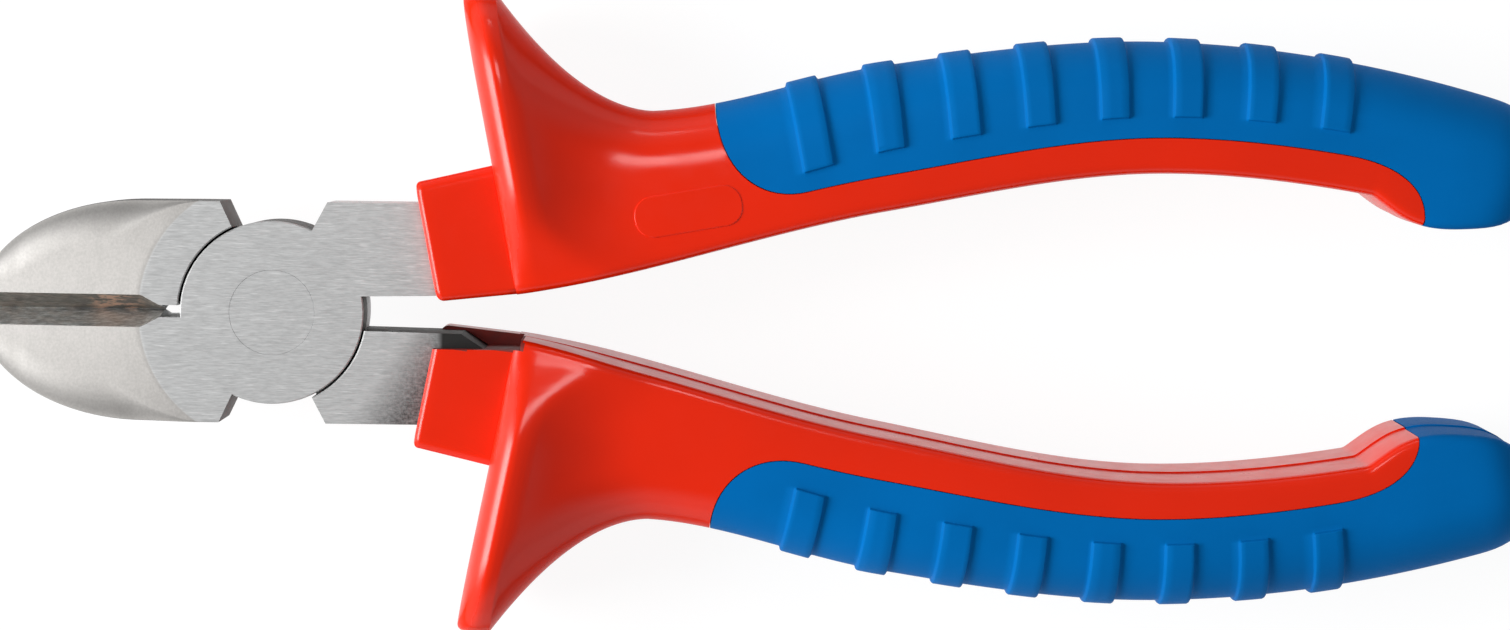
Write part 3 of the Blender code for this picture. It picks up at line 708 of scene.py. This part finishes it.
# %% [markdown]
# ## Where red ends and blue begins
# The soft layer is moulded round the hard sleeve and leaves a red strip along the inner side, which ends in a
# hook. Seen from above, the border is one line, a little nearer to the inner side on the shown face than on the rear
# one. It is drawn as an outline for each face and lofted to a block: the sleeve is the form without the block, and
# the grip is what lies inside it.

# %% The border as a block
SOFT_START = 50.6 * MM
SOFT_FRONT = 61.1 * MM
SOFT_TAIL = 131.8 * MM
TAIL_START = 121.5 * MM
STRIP = (4.1 * MM, 6.0 * MM)
STRIP_TAIL = (4.1 * MM, 4.6 * MM)
HOOK_CURVE = 0.75
BORDER_STEPS = 20
STRIP_STEP = 1.5 * MM
CORE_START = 45.4 * MM
CORE_END = 140.5 * MM
CORE_SKIN = 1.0 * MM
CORE_ROUND = 0.35
CORE_STEP = 3 * MM
SOFT_SIDE = 2.6 * MM
SOFT_LAYER = 2.0 * MM
FAR = 20 * MM


def border(grow, strip, strip_tail):
    """Outline of the space that the soft grip takes on one face, drawn wider by grow."""

    def line(x):
        share = (x - SOFT_FRONT) / (TAIL_START - SOFT_FRONT)
        return inner_side(x) + strip + (strip_tail - strip) * share - grow

    front_slope = (line(SOFT_FRONT + MM) - line(SOFT_FRONT)) / MM
    tail_slope = (line(TAIL_START) - line(TAIL_START - MM)) / MM
    front_y = outer_side(SOFT_START)
    drop = front_y + front_slope * (SOFT_FRONT - SOFT_START) - line(SOFT_FRONT)
    tail_y = inner_side(SOFT_TAIL)
    outline = [(SOFT_START - grow, front_y + FAR)]
    for angle in quarter(BORDER_STEPS)[:-1]:
        x = SOFT_FRONT - (SOFT_FRONT - SOFT_START + grow) * math.cos(angle)
        outline.append((x, line(SOFT_FRONT) + drop * (1 - math.sin(angle)) + front_slope * (x - SOFT_FRONT)))
    outline += [(x, line(x)) for x in spread(SOFT_FRONT, TAIL_START, STRIP_STEP)[:-1]]
    for angle in quarter(BORDER_STEPS):
        x = TAIL_START + (SOFT_TAIL - TAIL_START - grow) * math.sin(angle) ** HOOK_CURVE
        rise = line(TAIL_START) - tail_y + tail_slope * (x - TAIL_START)
        outline.append((x, tail_y + rise * math.cos(angle) ** HOOK_CURVE))
    outline.append((SOFT_TAIL - grow, tail_y - FAR))
    outline.append((HANDLE_END + FAR, tail_y - FAR))
    outline.append((HANDLE_END + FAR, front_y + FAR))
    return outline


def border_block(grow):
    """The space of the soft grip between both faces, a little wider on the shown one."""
    shown, rear = [border(grow, *strips) for strips in zip(STRIP, STRIP_TAIL)]
    levels = ((shown, FAR), (shown, GRIP_HALF + MM), (rear, -GRIP_HALF - MM), (rear, -FAR))
    return lofted("border", [[Vector((x, y, MID + height)) for x, y in outline] for outline, height in levels])


def core(grow):
    """The sleeve's core under the soft layer."""
    rings = []
    for x in spread(CORE_START - grow, CORE_END + grow, CORE_STEP):
        inner = inner_side(min(x, HOOK_X)) + CORE_SKIN - grow
        width = outer_side(x) - SOFT_SIDE + grow - inner
        half = half_thickness(x) - SOFT_LAYER + grow
        round_out = (CORE_ROUND * width, half - OUTER_FLAT)
        points = section(width, lambda across: half, INNER_ROUND, round_out, (FACE_SPLIT * width,) * 2)
        rings.append(ring(x, 0.0, inner, points))
    return lofted("core", rings)


print("border points:", len(border(0.0, STRIP[0], STRIP_TAIL[0])))

# %% [markdown]
# ## The red sleeve
# The sleeve is the whole form cut back to the border, with its core inside the grip. A square hole takes the
# tang, and one side of the collar is notched so that the two handles clear each other when the tool closes.
# A low oblong pad with round corners lies on the face behind the guard.

# %% Model the sleeve
PARTING = 0.1 * MM
PAD_CENTRE = Vector((47.6, 12.3)) * MM
PAD_HALF = Vector((6.2, 2.35)) * MM
PAD_CORNER = 2.1 * MM
PAD_TURN = math.radians(10)
PAD_HEIGHT = 0.13 * MM
PAD_STEPS = 8
PAD_EDGE = 0.1 * MM
TANG_FIT = 0.1 * MM
TANG_PLAY = 0.05 * MM
TANG_HOLE = ((10, 12.75), (27.1, 12.75), (27.1, 5.5), (21.7, 2.15), (10, 2.15))
BAR_START = 26.5 * MM
BAR_END = 112 * MM
BAR_STEP = 4 * MM
BAR_HALF = ((27 * MM, 3.5 * MM), (112 * MM, 2.5 * MM))
BAR_LEVEL = 4 * MM
NOTCH_START = 15 * MM
NOTCH_END = 28.9 * MM
NOTCH_SIDE = -2 * MM
NOTCH_WALL = 3.85 * MM
NOTCH_DRAFT = 0.3 * MM
NOTCH_FLOOR = 3.0 * MM
NOTCH_BELOW = -COLLAR_HALF - 3 * MM
FINE_START = 120 * MM
SLEEVE_END = 135 * MM
SLEEVE_STEPS = (0.9 * MM, 0.4 * MM)


def tang_bar(grow):
    """The tapered end of the tang inside the handle, grown by a fit for the hole that takes it."""
    low = []
    high = []
    for x in spread(BAR_START - grow, BAR_END + grow, BAR_STEP):
        middle = (inner_side(x) + outer_side(x)) / 2
        half = curve(BAR_HALF, x) + grow
        low.append((x, middle - half))
        high.append((x, middle + half))
    return plate("tang_bar", low + high[::-1], -BAR_LEVEL - grow, BAR_LEVEL + grow)


def pad_outline(inset):
    """A rectangle with round corners, turned along the handle."""
    outline = []
    corner = PAD_CORNER - inset
    for side_x, side_y, first in ((1, 1, 0), (-1, 1, 90), (-1, -1, 180), (1, -1, 270)):
        for k in range(PAD_STEPS + 1):
            angle = math.radians(first + 90 * k / PAD_STEPS)
            x = side_x * (PAD_HALF.x - PAD_CORNER) + corner * math.cos(angle)
            y = side_y * (PAD_HALF.y - PAD_CORNER) + corner * math.sin(angle)
            turned = Matrix.Rotation(PAD_TURN, 2) @ Vector((x, y))
            outline.append(PAD_CENTRE + turned)
    return outline


places = spread(WAIST_X, FINE_START, SLEEVE_STEPS[0]) + spread(FINE_START, SLEEVE_END, SLEEVE_STEPS[1])[1:]
sleeve = lofted("upper_sleeve", front_sections + [grip_ring(x) for x in places])
print("sleeve form:", len(sleeve.data.polygons), "faces")
combine(sleeve, border_block(PARTING))
combine(sleeve, core(0.0), 'UNION')
tang_hole = plate("tang_hole", in_mm(TANG_HOLE), -HALF_JOINT - TANG_PLAY, HALF_JOINT + TANG_PLAY)
combine(sleeve, tang_hole)
combine(sleeve, tang_bar(TANG_FIT))
combine(forging, tang_bar(0.0), 'UNION')
notch = plate("notch", [
    (NOTCH_START, NOTCH_SIDE), (NOTCH_END, NOTCH_SIDE), (NOTCH_END - NOTCH_DRAFT, NOTCH_WALL),
    (NOTCH_START, NOTCH_WALL)], NOTCH_BELOW, NOTCH_FLOOR)
combine(sleeve, notch)
spot = sleeve.ray_cast(Vector((*PAD_CENTRE, MID + FAR)), Vector((0, 0, -1)))[1]
pad_top = spot.z + PAD_HEIGHT
pad = lofted("pad", [
    [Vector((*point, height)) for point in pad_outline(inset)]
    for inset, height in ((0.0, pad_top - MM), (0.0, pad_top - PAD_EDGE), (PAD_EDGE, pad_top))])
combine(sleeve, pad, 'UNION')
print("sleeve:", len(sleeve.data.polygons), "faces")

# %% [markdown]
# ## The blue grip
# The grip is the same form with its ribs, cut to the border and hollowed by the core. The ribs are modelled, not
# drawn with a bump, so that they also show in the outline and in the mesh.

# %% Model the grip
GRIP_START = 48 * MM
GRIP_STEPS = (0.95 * MM, 0.6 * MM)
RIB_CLEAR = 0.3 * MM
CORE_FIT = 0.1 * MM

rib_places = []
for k in range(RIB_COUNT):
    for side in (-1, 1):
        for step, _ in RIB_EDGE:
            rib_places.append(RIB_FIRST + RIB_PITCH * k + side * (RIB_HALF - step))
plain = spread(GRIP_START, FINE_START, GRIP_STEPS[0]) + spread(FINE_START, END_START, GRIP_STEPS[1])[1:-1]
plain = [x for x in plain if min(abs(x - place) for place in rib_places) > RIB_CLEAR]
rings = [grip_ring(x, rib_lift(x)) for x in sorted(rib_places + plain)]
for angle in quarter(END_RINGS)[:-1]:
    share = math.sin(angle)
    x = END_START + (HANDLE_END - END_START) * share
    rings.append(grip_ring(x, shrink=math.sqrt(1 - share ** END_CURVE)))
grip = lofted("upper_grip", rings)
print("grip form:", len(grip.data.polygons), "faces")
combine(grip, border_block(0.0), 'INTERSECT')
combine(grip, core(CORE_FIT))
print("grip:", len(grip.data.polygons), "faces")

# %% [markdown]
# ## The other side of the tool
# Both halves of the tool are the same pieces: the second set is the first one turned over about the long axis.
# Each copy gets its own mesh, and its place goes into that mesh.

# %% Turn the second set over
for piece, angle in ((forging, 24), (rivet, 30), (sleeve, 34), (grip, 34)):
    smooth(piece, angle)
rear_forging = turned_over(forging, "rear_forging")
lower_sleeve = turned_over(sleeve, "lower_sleeve")
lower_grip = turned_over(grip, "lower_grip")
print("pieces:", [piece.name for piece in (forging, rear_forging, rivet, sleeve, lower_sleeve, grip, lower_grip)])

# %% [markdown]
# ## Finishes
# Each finish is a node material on Object coordinates, so a pattern keeps its real size in metres. A few helpers
# keep the node trees short: one adds a node with its inputs set, one stretches a noise along an axis, others bring
# a pattern into a range or mix two colours by it.


# %% Helpers for node materials
def new_finish(name, colour, metallic, roughness):
    """Start a material and give back its tree and its shader."""
    finish = bpy.data.materials.new(name)
    finish.use_nodes = True
    shader = finish.node_tree.nodes["Principled BSDF"]
    shader.inputs["Base Color"].default_value = (*colour, 1.0)
    shader.inputs["Metallic"].default_value = metallic
    shader.inputs["Roughness"].default_value = roughness
    return finish, finish.node_tree, shader


def add(tree, kind, settings=None, **inputs):
    """Add a shader node, set its properties and fill or link its inputs, by name or as i with their number."""
    node = tree.nodes.new("ShaderNode" + kind)
    for key, value in (settings or {}).items():
        setattr(node, key, value)
    for key, value in inputs.items():
        socket = node.inputs[int(key[1:]) if key[1:].isdigit() else key]
        if hasattr(value, "is_output"):
            tree.links.new(value, socket)
        else:
            socket.default_value = value
    return node


def worked(tree, operation, *values):
    """Work out one number from others, such as their product."""
    inputs = {f"i{k}": value for k, value in enumerate(values)}
    return add(tree, "Math", {"operation": operation}, **inputs).outputs[0]


def parted(tree, kind):
    """The X, Y and Z of a texture coordinate, such as the place or the normal."""
    return add(tree, "SeparateXYZ", Vector=add(tree, "TexCoord").outputs[kind]).outputs


def noise(tree, scale, detail, roughness, turn=0.0):
    """A noise on Object coordinates, with its own fineness per metre along each axis."""
    where = add(tree, "TexCoord").outputs["Object"]
    mapped = add(tree, "Mapping", Vector=where, Scale=scale, Rotation=(0, 0, turn)).outputs[0]
    return add(tree, "TexNoise", Vector=mapped, Scale=1.0, Detail=detail, Roughness=roughness).outputs[0]


def ranged(tree, value, low, high, to_low=0.0, to_high=1.0):
    """Bring a value from one range to another, held at the ends."""
    return add(tree, "MapRange", Value=value, i1=low, i2=high, i3=to_low, i4=to_high).outputs[0]


def mixed(tree, share, first, second):
    """Mix two colours by a share from 0 to 1."""
    return add(tree, "Mix", {"data_type": 'RGBA'}, i0=share, i6=first, i7=second).outputs[2]


def toned(colour, factor=1.0):
    """A colour made darker or lighter, with its alpha."""
    return (*(value * factor for value in colour), 1.0)


def dress(tree, shader, colour, roughness):
    """Link a colour and a roughness to the shader."""
    tree.links.new(colour, shader.inputs["Base Color"])
    tree.links.new(roughness, shader.inputs["Roughness"])


def bumped(tree, shader, height, strength, distance):
    """Let a height turn the surface's normal."""
    bump = add(tree, "Bump", Height=height, Strength=strength, Distance=distance)
    tree.links.new(bump.outputs[0], shader.inputs["Normal"])


def paint(piece, *finishes):
    """Give a piece its finishes, in the order of their slots."""
    piece.data.materials.clear()
    for finish in finishes:
        piece.data.materials.append(finish)


print("materials so far:", len(bpy.data.materials))

# %% [markdown]
# ## Steel
# The flat faces are brushed along the tool: short, thin streaks that change both colour and gloss. Beyond the circle
# of the grind the jaw is finer and warmer. Its rolled rim carries painted shade: the colour darkens where the rim
# turns sideways, more on the rear forging's upper jaw. All of this is one material that reads the distance from the
# pivot and the normal. The bevels of the cutting edge lean away from the light; the upper one is darker and browner,
# with a few copper-coloured smears of cut wire. Walls that are never ground keep the dark skin of the forging. The
# rear forging's tang has a darker, cloudy patch by the collar, and painted shade makes it dark inside the collar and
# its notch.

# %% Steel finishes
FLAT_STEEL = (0.55, 0.555, 0.555)
SCRATCH = (0.85, 0.85, 0.85)
GROUND_STEEL = (0.50, 0.484, 0.466)
# Painted shade for the jaw's rolled rim.
RIM_SHADE_STEEL = (0.2, 0.2, 0.2)
# A dark steel for a cloudy patch on the rear tang by the collar, and for painted shade inside the collar and its
# notch.
PATCH_AND_SHADE_STEEL = (0.045, 0.044, 0.043)
EDGE_STEEL = (0.66, 0.675, 0.68)
SMEARED_STEEL = (0.32, 0.306, 0.278)
COPPER = (0.95, 0.68, 0.53)
SCALE_STEEL = (0.085, 0.082, 0.078)
GRIND_EDGE = (GRIND_RADIUS - 0.05 * MM, GRIND_RADIUS + 0.15 * MM)
JAW_SIDE = (-1 * MM, -2 * MM)
# Where the dark patch lies, and from where on inside the collar the steel is painted dark as shade.
PATCH_LEAN = -0.62
PATCH_FADE = (16.6 * MM, 22.4 * MM)
PAINTED_NOTCH_SHADE = (18.4 * MM, 19.6 * MM)
SMEAR_START = (-22 * MM, -20 * MM)
SMEAR_END = (-16.5 * MM, -14.5 * MM)
BARE = 0.1


def steel_finish(name, painted_rim_shade, dark_by_collar=False):
    """Brushed faces and ground jaws with painted rim shade; where asked, a dark patch and painted shade by the
    collar.
    """
    finish, tree, shader = new_finish(name, FLAT_STEEL, 1.0, 0.4)
    where = parted(tree, "Object")
    flat = add(tree, "CombineXYZ", X=where["X"], Y=where["Y"]).outputs[0]
    radius = add(tree, "VectorMath", {"operation": 'LENGTH'}, i0=flat).outputs["Value"]
    ground = worked(tree, 'MULTIPLY', ranged(tree, radius, *GRIND_EDGE), ranged(tree, where["X"], *JAW_SIDE))
    streaks = noise(tree, (850, 8500, 900), 3.0, 0.6, 0.03)
    brushed = mixed(tree, ranged(tree, streaks, 0.3, 0.7), toned(FLAT_STEEL, 0.85), toned(FLAT_STEEL, 1.14))
    scratches = ranged(tree, noise(tree, (420, 6500, 900), 2.0, 0.5, -0.04), 0.60, 0.74, 0.0, 0.45)
    brushed = mixed(tree, scratches, brushed, toned(SCRATCH))
    grain = noise(tree, (3800, 3000, 3000), 2.0, 0.6)
    speckle = worked(tree, 'MULTIPLY_ADD', noise(tree, (520, 260, 260), 4.0, 0.65), 0.5, grain)
    fine = mixed(tree, ranged(tree, speckle, 0.55, 0.95), toned(GROUND_STEEL, 0.86), toned(GROUND_STEEL))
    # Painted shade: the rolled rim's colour is mixed towards a dark steel where its normal turns sideways, less at
    # the very lip.
    rolled = worked(tree, 'ABSOLUTE', parted(tree, "Normal")["Y"])
    rim_shade_band = ranged(tree, rolled, 0.07, 0.3, 0.0, painted_rim_shade)
    lip = ranged(tree, rolled, 0.45, 0.75, 1.0, 0.25)
    fine = mixed(tree, worked(tree, 'MULTIPLY', rim_shade_band, lip), fine, toned(RIM_SHADE_STEEL))
    colour = mixed(tree, ground, brushed, fine)
    if dark_by_collar:
        # A darker, cloudy patch by the collar, and painted shade: the steel inside the collar and its notch is made
        # dark.
        along = worked(tree, 'MULTIPLY_ADD', where["Y"], PATCH_LEAN, where["X"])
        cloud = ranged(tree, noise(tree, (2200, 2900, 2000), 4.0, 0.65), 0.3, 0.7, 0.45, 0.95)
        dark_patch_and_shade = worked(tree, 'MULTIPLY', ranged(tree, along, *PATCH_FADE), cloud)
        dark_patch_and_shade = worked(tree, 'MAXIMUM', dark_patch_and_shade, ranged(tree, where["X"], *PAINTED_NOTCH_SHADE))
        colour = mixed(tree, dark_patch_and_shade, colour, toned(PATCH_AND_SHADE_STEEL))
    gloss = worked(tree, 'MULTIPLY_ADD', streaks, 0.16, 0.54)
    dress(tree, shader, colour, worked(tree, 'MULTIPLY_ADD', ground, -0.1, gloss))
    bumped(tree, shader, streaks, 0.25, 0.012 * MM)
    return finish


def bevel_finish(name, base, smears):
    """Steel with streaks along the edge, and copper-coloured smears of cut wire near its heel."""
    finish, tree, shader = new_finish(name, base, 1.0, 0.5)
    streaks = noise(tree, (900, 3200, 2200), 5.0, 0.7)
    colour = mixed(tree, ranged(tree, streaks, 0.3, 0.7), toned(base, 0.5), toned(base, 1.4))
    along = parted(tree, "Object")["X"]
    near_heel = ranged(tree, along, *SMEAR_START, BARE, smears)
    near_heel = worked(tree, 'MULTIPLY', near_heel, ranged(tree, along, *SMEAR_END, 1.0, BARE))
    patches = ranged(tree, noise(tree, (620, 1300, 900), 3.0, 0.6), 0.46, 0.58)
    colour = mixed(tree, worked(tree, 'MULTIPLY', patches, near_heel), colour, toned(COPPER))
    dress(tree, shader, colour, ranged(tree, streaks, 0.2, 0.8, 0.38, 0.6))
    bumped(tree, shader, streaks, 0.3, 0.015 * MM)
    return finish


def scale_finish():
    """The dark skin that forging leaves on the walls that are never ground."""
    finish, tree, shader = new_finish("forging_scale", SCALE_STEEL, 0.6, 0.6)
    cloud = noise(tree, (700, 700, 700), 4.0, 0.65)
    colour = mixed(tree, ranged(tree, cloud, 0.3, 0.7), toned(SCALE_STEEL, 0.6), toned(SCALE_STEEL, 1.5))
    dress(tree, shader, colour, ranged(tree, cloud, 0.3, 0.7, 0.5, 0.75))
    bumped(tree, shader, noise(tree, (2500, 2500, 2500), 3.0, 0.6), 0.3, 0.03 * MM)
    return finish


# %% Steel on its faces
GAP_START = HEEL_X - 0.5 * MM
GAP_END = -10 * MM
GAP_SIDE = 0.9 * MM
OPEN_START = 5 * MM
OPEN_SIDE = 12 * MM
OPEN_BACK = 0.5
BEVEL_SIDE = BEVEL_WIDTH + 0.2 * MM
BEVEL_LEAN = 0.2
BEVEL_UPRIGHT = 0.93
WALL_UPRIGHT = 0.3


def paint_steel(piece, *finishes):
    """Give a forging its ground, bevel and scale finishes, found by the place and the normal of each face."""
    paint(piece, *finishes)
    counts = [0, 0, 0]
    for face in piece.data.polygons:
        x, y, z = face.center
        upright = abs(face.normal.z)
        in_gap = abs(y) < GAP_SIDE and GAP_START < x < GAP_END
        open_wall = x > OPEN_START and (abs(y) > OPEN_SIDE or face.normal.x > OPEN_BACK and z < MID)
        on_edge = x < HEEL_X and abs(y) < BEVEL_SIDE
        if on_edge and upright < BEVEL_UPRIGHT and abs(face.normal.y) > BEVEL_LEAN:
            face.material_index = 1
        elif upright < WALL_UPRIGHT and not in_gap and not open_wall:
            face.material_index = 2
        counts[face.material_index] += 1
    print(piece.name, "faces by finish:", counts)


scale = scale_finish()
# The number after each steel finish's name is its painted rim shade: light on the front forging, stronger on the rear
# one.
paint_steel(forging, steel_finish("brushed_steel", 0.1), bevel_finish("edge_steel", EDGE_STEEL, 0.05), scale)
smeared = bevel_finish("smeared_edge_steel", SMEARED_STEEL, 0.9)
# The rear forging's tang also gets the dark patch by the collar and the painted shade inside it.
paint_steel(rear_forging, steel_finish("steel_with_painted_shade", 0.28, True), smeared, scale)
paint(rivet, steel_finish("rivet_steel", 0.0))

# %% [markdown]
# ## Red and blue plastic
# The red is a hard, glossy moulding: nearly one colour, with a gloss that wanders a little and a very fine
# unevenness that softens its reflections. Its side walls and the front of the guard are a little duller, and the
# outer walls mirror less, as hands wear them. The blue is a soft, satin plastic with a fine grain and a broader
# sheen.

# %% Plastic finishes
RED = (0.79, 0.018, 0.0)
# A dark red painted into the notch of the collar as shade.
NOTCH_SHADE_RED = (0.23, 0.012, 0.006)
BLUE = (0.0, 0.14, 0.44)
RED_SHINE = 0.5
WORN_WALL = 0.485
BLUE_SHINE = 0.03


def red_finish():
    """Glossy hard plastic, duller on its walls, of which the outer ones mirror less."""
    finish, tree, shader = new_finish("red_gloss", RED, 0.0, 0.24)
    cloud = noise(tree, (60, 60, 60), 3.0, 0.5)
    gloss = ranged(tree, noise(tree, (350, 350, 350), 4.0, 0.6), 0.25, 0.75, 0.14, 0.24)
    facing = parted(tree, "Normal")
    upright = worked(tree, 'ABSOLUTE', facing["Z"])
    wall = ranged(tree, upright, 0.1, 0.45, 0.12, 0.0)
    front = ranged(tree, facing["X"], -0.5, -0.2, 0.14, 0.0)
    rough = worked(tree, 'ADD', gloss, worked(tree, 'MAXIMUM', wall, front))
    dress(tree, shader, mixed(tree, ranged(tree, cloud, 0.35, 0.65), toned(RED, 0.94), toned(RED)), rough)
    half = worked(tree, 'SIGN', parted(tree, "Object")["Y"])
    outward = ranged(tree, worked(tree, 'MULTIPLY', facing["Y"], half), 0.0, 0.2)
    worn = worked(tree, 'MULTIPLY', ranged(tree, upright, 0.5, 0.88, WORN_WALL, 0.0), outward)
    tree.links.new(worked(tree, 'SUBTRACT', RED_SHINE, worn), shader.inputs["Specular IOR Level"])
    bumped(tree, shader, noise(tree, (900, 900, 900), 3.0, 0.55), 0.05, 0.02 * MM)
    return finish


def notch_shade_finish():
    """The same plastic, rougher, and darker inside the collar's notch as painted shade."""
    finish, tree, shader = new_finish("red_notch_shade", NOTCH_SHADE_RED, 0.0, 0.6)
    cloud = noise(tree, (400, 400, 400), 3.0, 0.6)
    colour = mixed(tree, ranged(tree, cloud, 0.35, 0.65), toned(NOTCH_SHADE_RED, 0.6), toned(NOTCH_SHADE_RED))
    dress(tree, shader, colour, ranged(tree, cloud, 0.3, 0.7, 0.5, 0.7))
    return finish


def blue_finish():
    """Satin soft plastic."""
    finish, tree, shader = new_finish("blue_satin", BLUE, 0.0, 0.55)
    shader.inputs["Specular IOR Level"].default_value = BLUE_SHINE
    grain = noise(tree, (4200, 4200, 4200), 2.0, 0.6)
    cloud = noise(tree, (90, 90, 90), 3.0, 0.5)
    colour = mixed(tree, ranged(tree, cloud, 0.35, 0.65), toned(BLUE, 0.92), toned(BLUE))
    dress(tree, shader, colour, ranged(tree, grain, 0.3, 0.7, 0.46, 0.62))
    bumped(tree, shader, grain, 0.2, 0.02 * MM)
    return finish


red, notch_shade, blue = red_finish(), notch_shade_finish(), blue_finish()
for piece in (grip, lower_grip):
    paint(piece, blue)
for piece, side in ((sleeve, 1), (lower_sleeve, -1)):
    paint(piece, red, notch_shade)
    # Faces inside the collar's notch take the darker red: painted shade.
    for face in piece.data.polygons:
        below = side * (face.center.z - MID) < NOTCH_FLOOR + PARTING
        if below and face.center.x < NOTCH_END + PARTING and side * face.center.y < NOTCH_WALL + PARTING:
            face.material_index = 1
print("finishes:", [finish.name for finish in bpy.data.materials if finish.users])

# %% [markdown]
# ## What moves with what
# The front forging carries the rivet and the upper handle, and the rear forging the lower handle. Each new piece
# rides on that body and stands for its CAD node, which is hidden.

# %% Tie the pieces to the frame
for piece, node, body, slot in (
        (forging, "front_jaw_half", "front_half", "forged_steel"),
        (rear_forging, "rear_jaw_half", "rear_half", "forged_steel"),
        (rivet, "pivot_rivet", "front_half", "rivet_steel"),
        (sleeve, "upper_handle_sleeve", "front_half", "red_plastic"),
        (lower_sleeve, "lower_handle_sleeve", "rear_half", "red_plastic"),
        (grip, "upper_soft_grip", "front_half", "blue_soft_plastic"),
        (lower_grip, "lower_soft_grip", "rear_half", "blue_soft_plastic")):
    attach(piece, body)
    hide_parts(node)
    print(piece.name, "rides on", body)

# %% [markdown]
# ## Floor and light
# The tool lies on a white sheet under soft studio light. The sheet is a plain floor that shows as white to the
# camera and in reflections, yet still takes a shadow. One large lamp stands at the left, a small one hangs close
# over the upper handle and a low strip stands behind. The walls of the room are brighter than the ceiling, which is
# dim so that the glossy red keeps its full colour on the faces that look up.

# %% Floor
FLOOR_SIZE = 6.0
FLOOR_X = 0.05
WHITE = (1.0, 1.0, 1.0)
SHEET = 0.85
SHADED = 0.12
GLOW = 0.92

bpy.ops.object.select_all(action='DESELECT')
bpy.ops.mesh.primitive_plane_add(size=FLOOR_SIZE, location=(FLOOR_X, 0, CAD_BOX[0][2]))
floor = bpy.context.object
floor.name = "floor"
sheet = bpy.data.materials.new("white_sheet")
sheet.use_nodes = True
tree = sheet.node_tree
tree.nodes.clear()
ray = add(tree, "LightPath").outputs
seen = worked(tree, 'MAXIMUM', ray["Is Camera Ray"], ray["Is Glossy Ray"])
seen = worked(tree, 'MAXIMUM', seen, ray["Is Transmission Ray"])
matt = add(tree, "BsdfDiffuse", Color=toned(WHITE, SHEET)).outputs[0]
faint = add(tree, "BsdfDiffuse", Color=toned(WHITE, SHADED)).outputs[0]
glow = add(tree, "Emission", Color=toned(WHITE), Strength=GLOW).outputs[0]
white = add(tree, "AddShader", i0=faint, i1=glow).outputs[0]
both = add(tree, "MixShader", i0=seen, i1=matt, i2=white).outputs[0]
add(tree, "OutputMaterial", Surface=both)
floor.data.materials.append(sheet)
print("floor at", round(floor.location.z / MM, 2), "mm")

# %% Lamps and surroundings
LAMPS = (
    ("left_lamp", (-0.75, 0.0, 0.48), (0.56, 0.54), 11.6),
    ("top_lamp", (0.05, 0.10, 0.21), (0.07, 0.055), 0.068),
    ("rear_lamp", (0.045, 0.50, 0.095), (0.14, 0.035), 0.06))
LIT = Vector((0.055, 0.0, 0.0))
CEILING = 0.18
CEILING_FADE = (0.25, 0.65)
FRONT_WALL = 0.75
BACK_WALL = 0.5
WALL_FADE = (-0.7, 0.7)

for name, place, size, power in LAMPS:
    bpy.ops.object.select_all(action='DESELECT')
    bpy.ops.object.light_add(type='AREA', location=place)
    lamp = bpy.context.object
    lamp.name = name
    lamp.data.shape = 'RECTANGLE'
    lamp.data.size, lamp.data.size_y = size
    lamp.data.energy = power
    aim = LIT - Vector(place)
    lamp.rotation_euler = aim.to_track_quat('-Z', 'Y').to_euler()
    print(name, round(aim.length, 2), "m away")

room = bpy.data.worlds.new("studio")
bpy.context.scene.world = room
room.use_nodes = True
tree = room.node_tree
direction = parted(tree, "Generated")
wall = ranged(tree, direction["Y"], *WALL_FADE, FRONT_WALL, BACK_WALL)
level = ranged(tree, direction["Z"], *CEILING_FADE, wall, CEILING)
background = tree.nodes["Background"]
tree.links.new(level, background.inputs["Strength"])
background.inputs["Color"].default_value = toned(WHITE)

# %% [markdown]
# ## Finish
# The view layer is brought up to date.

# %% Finish
bpy.context.view_layer.update()
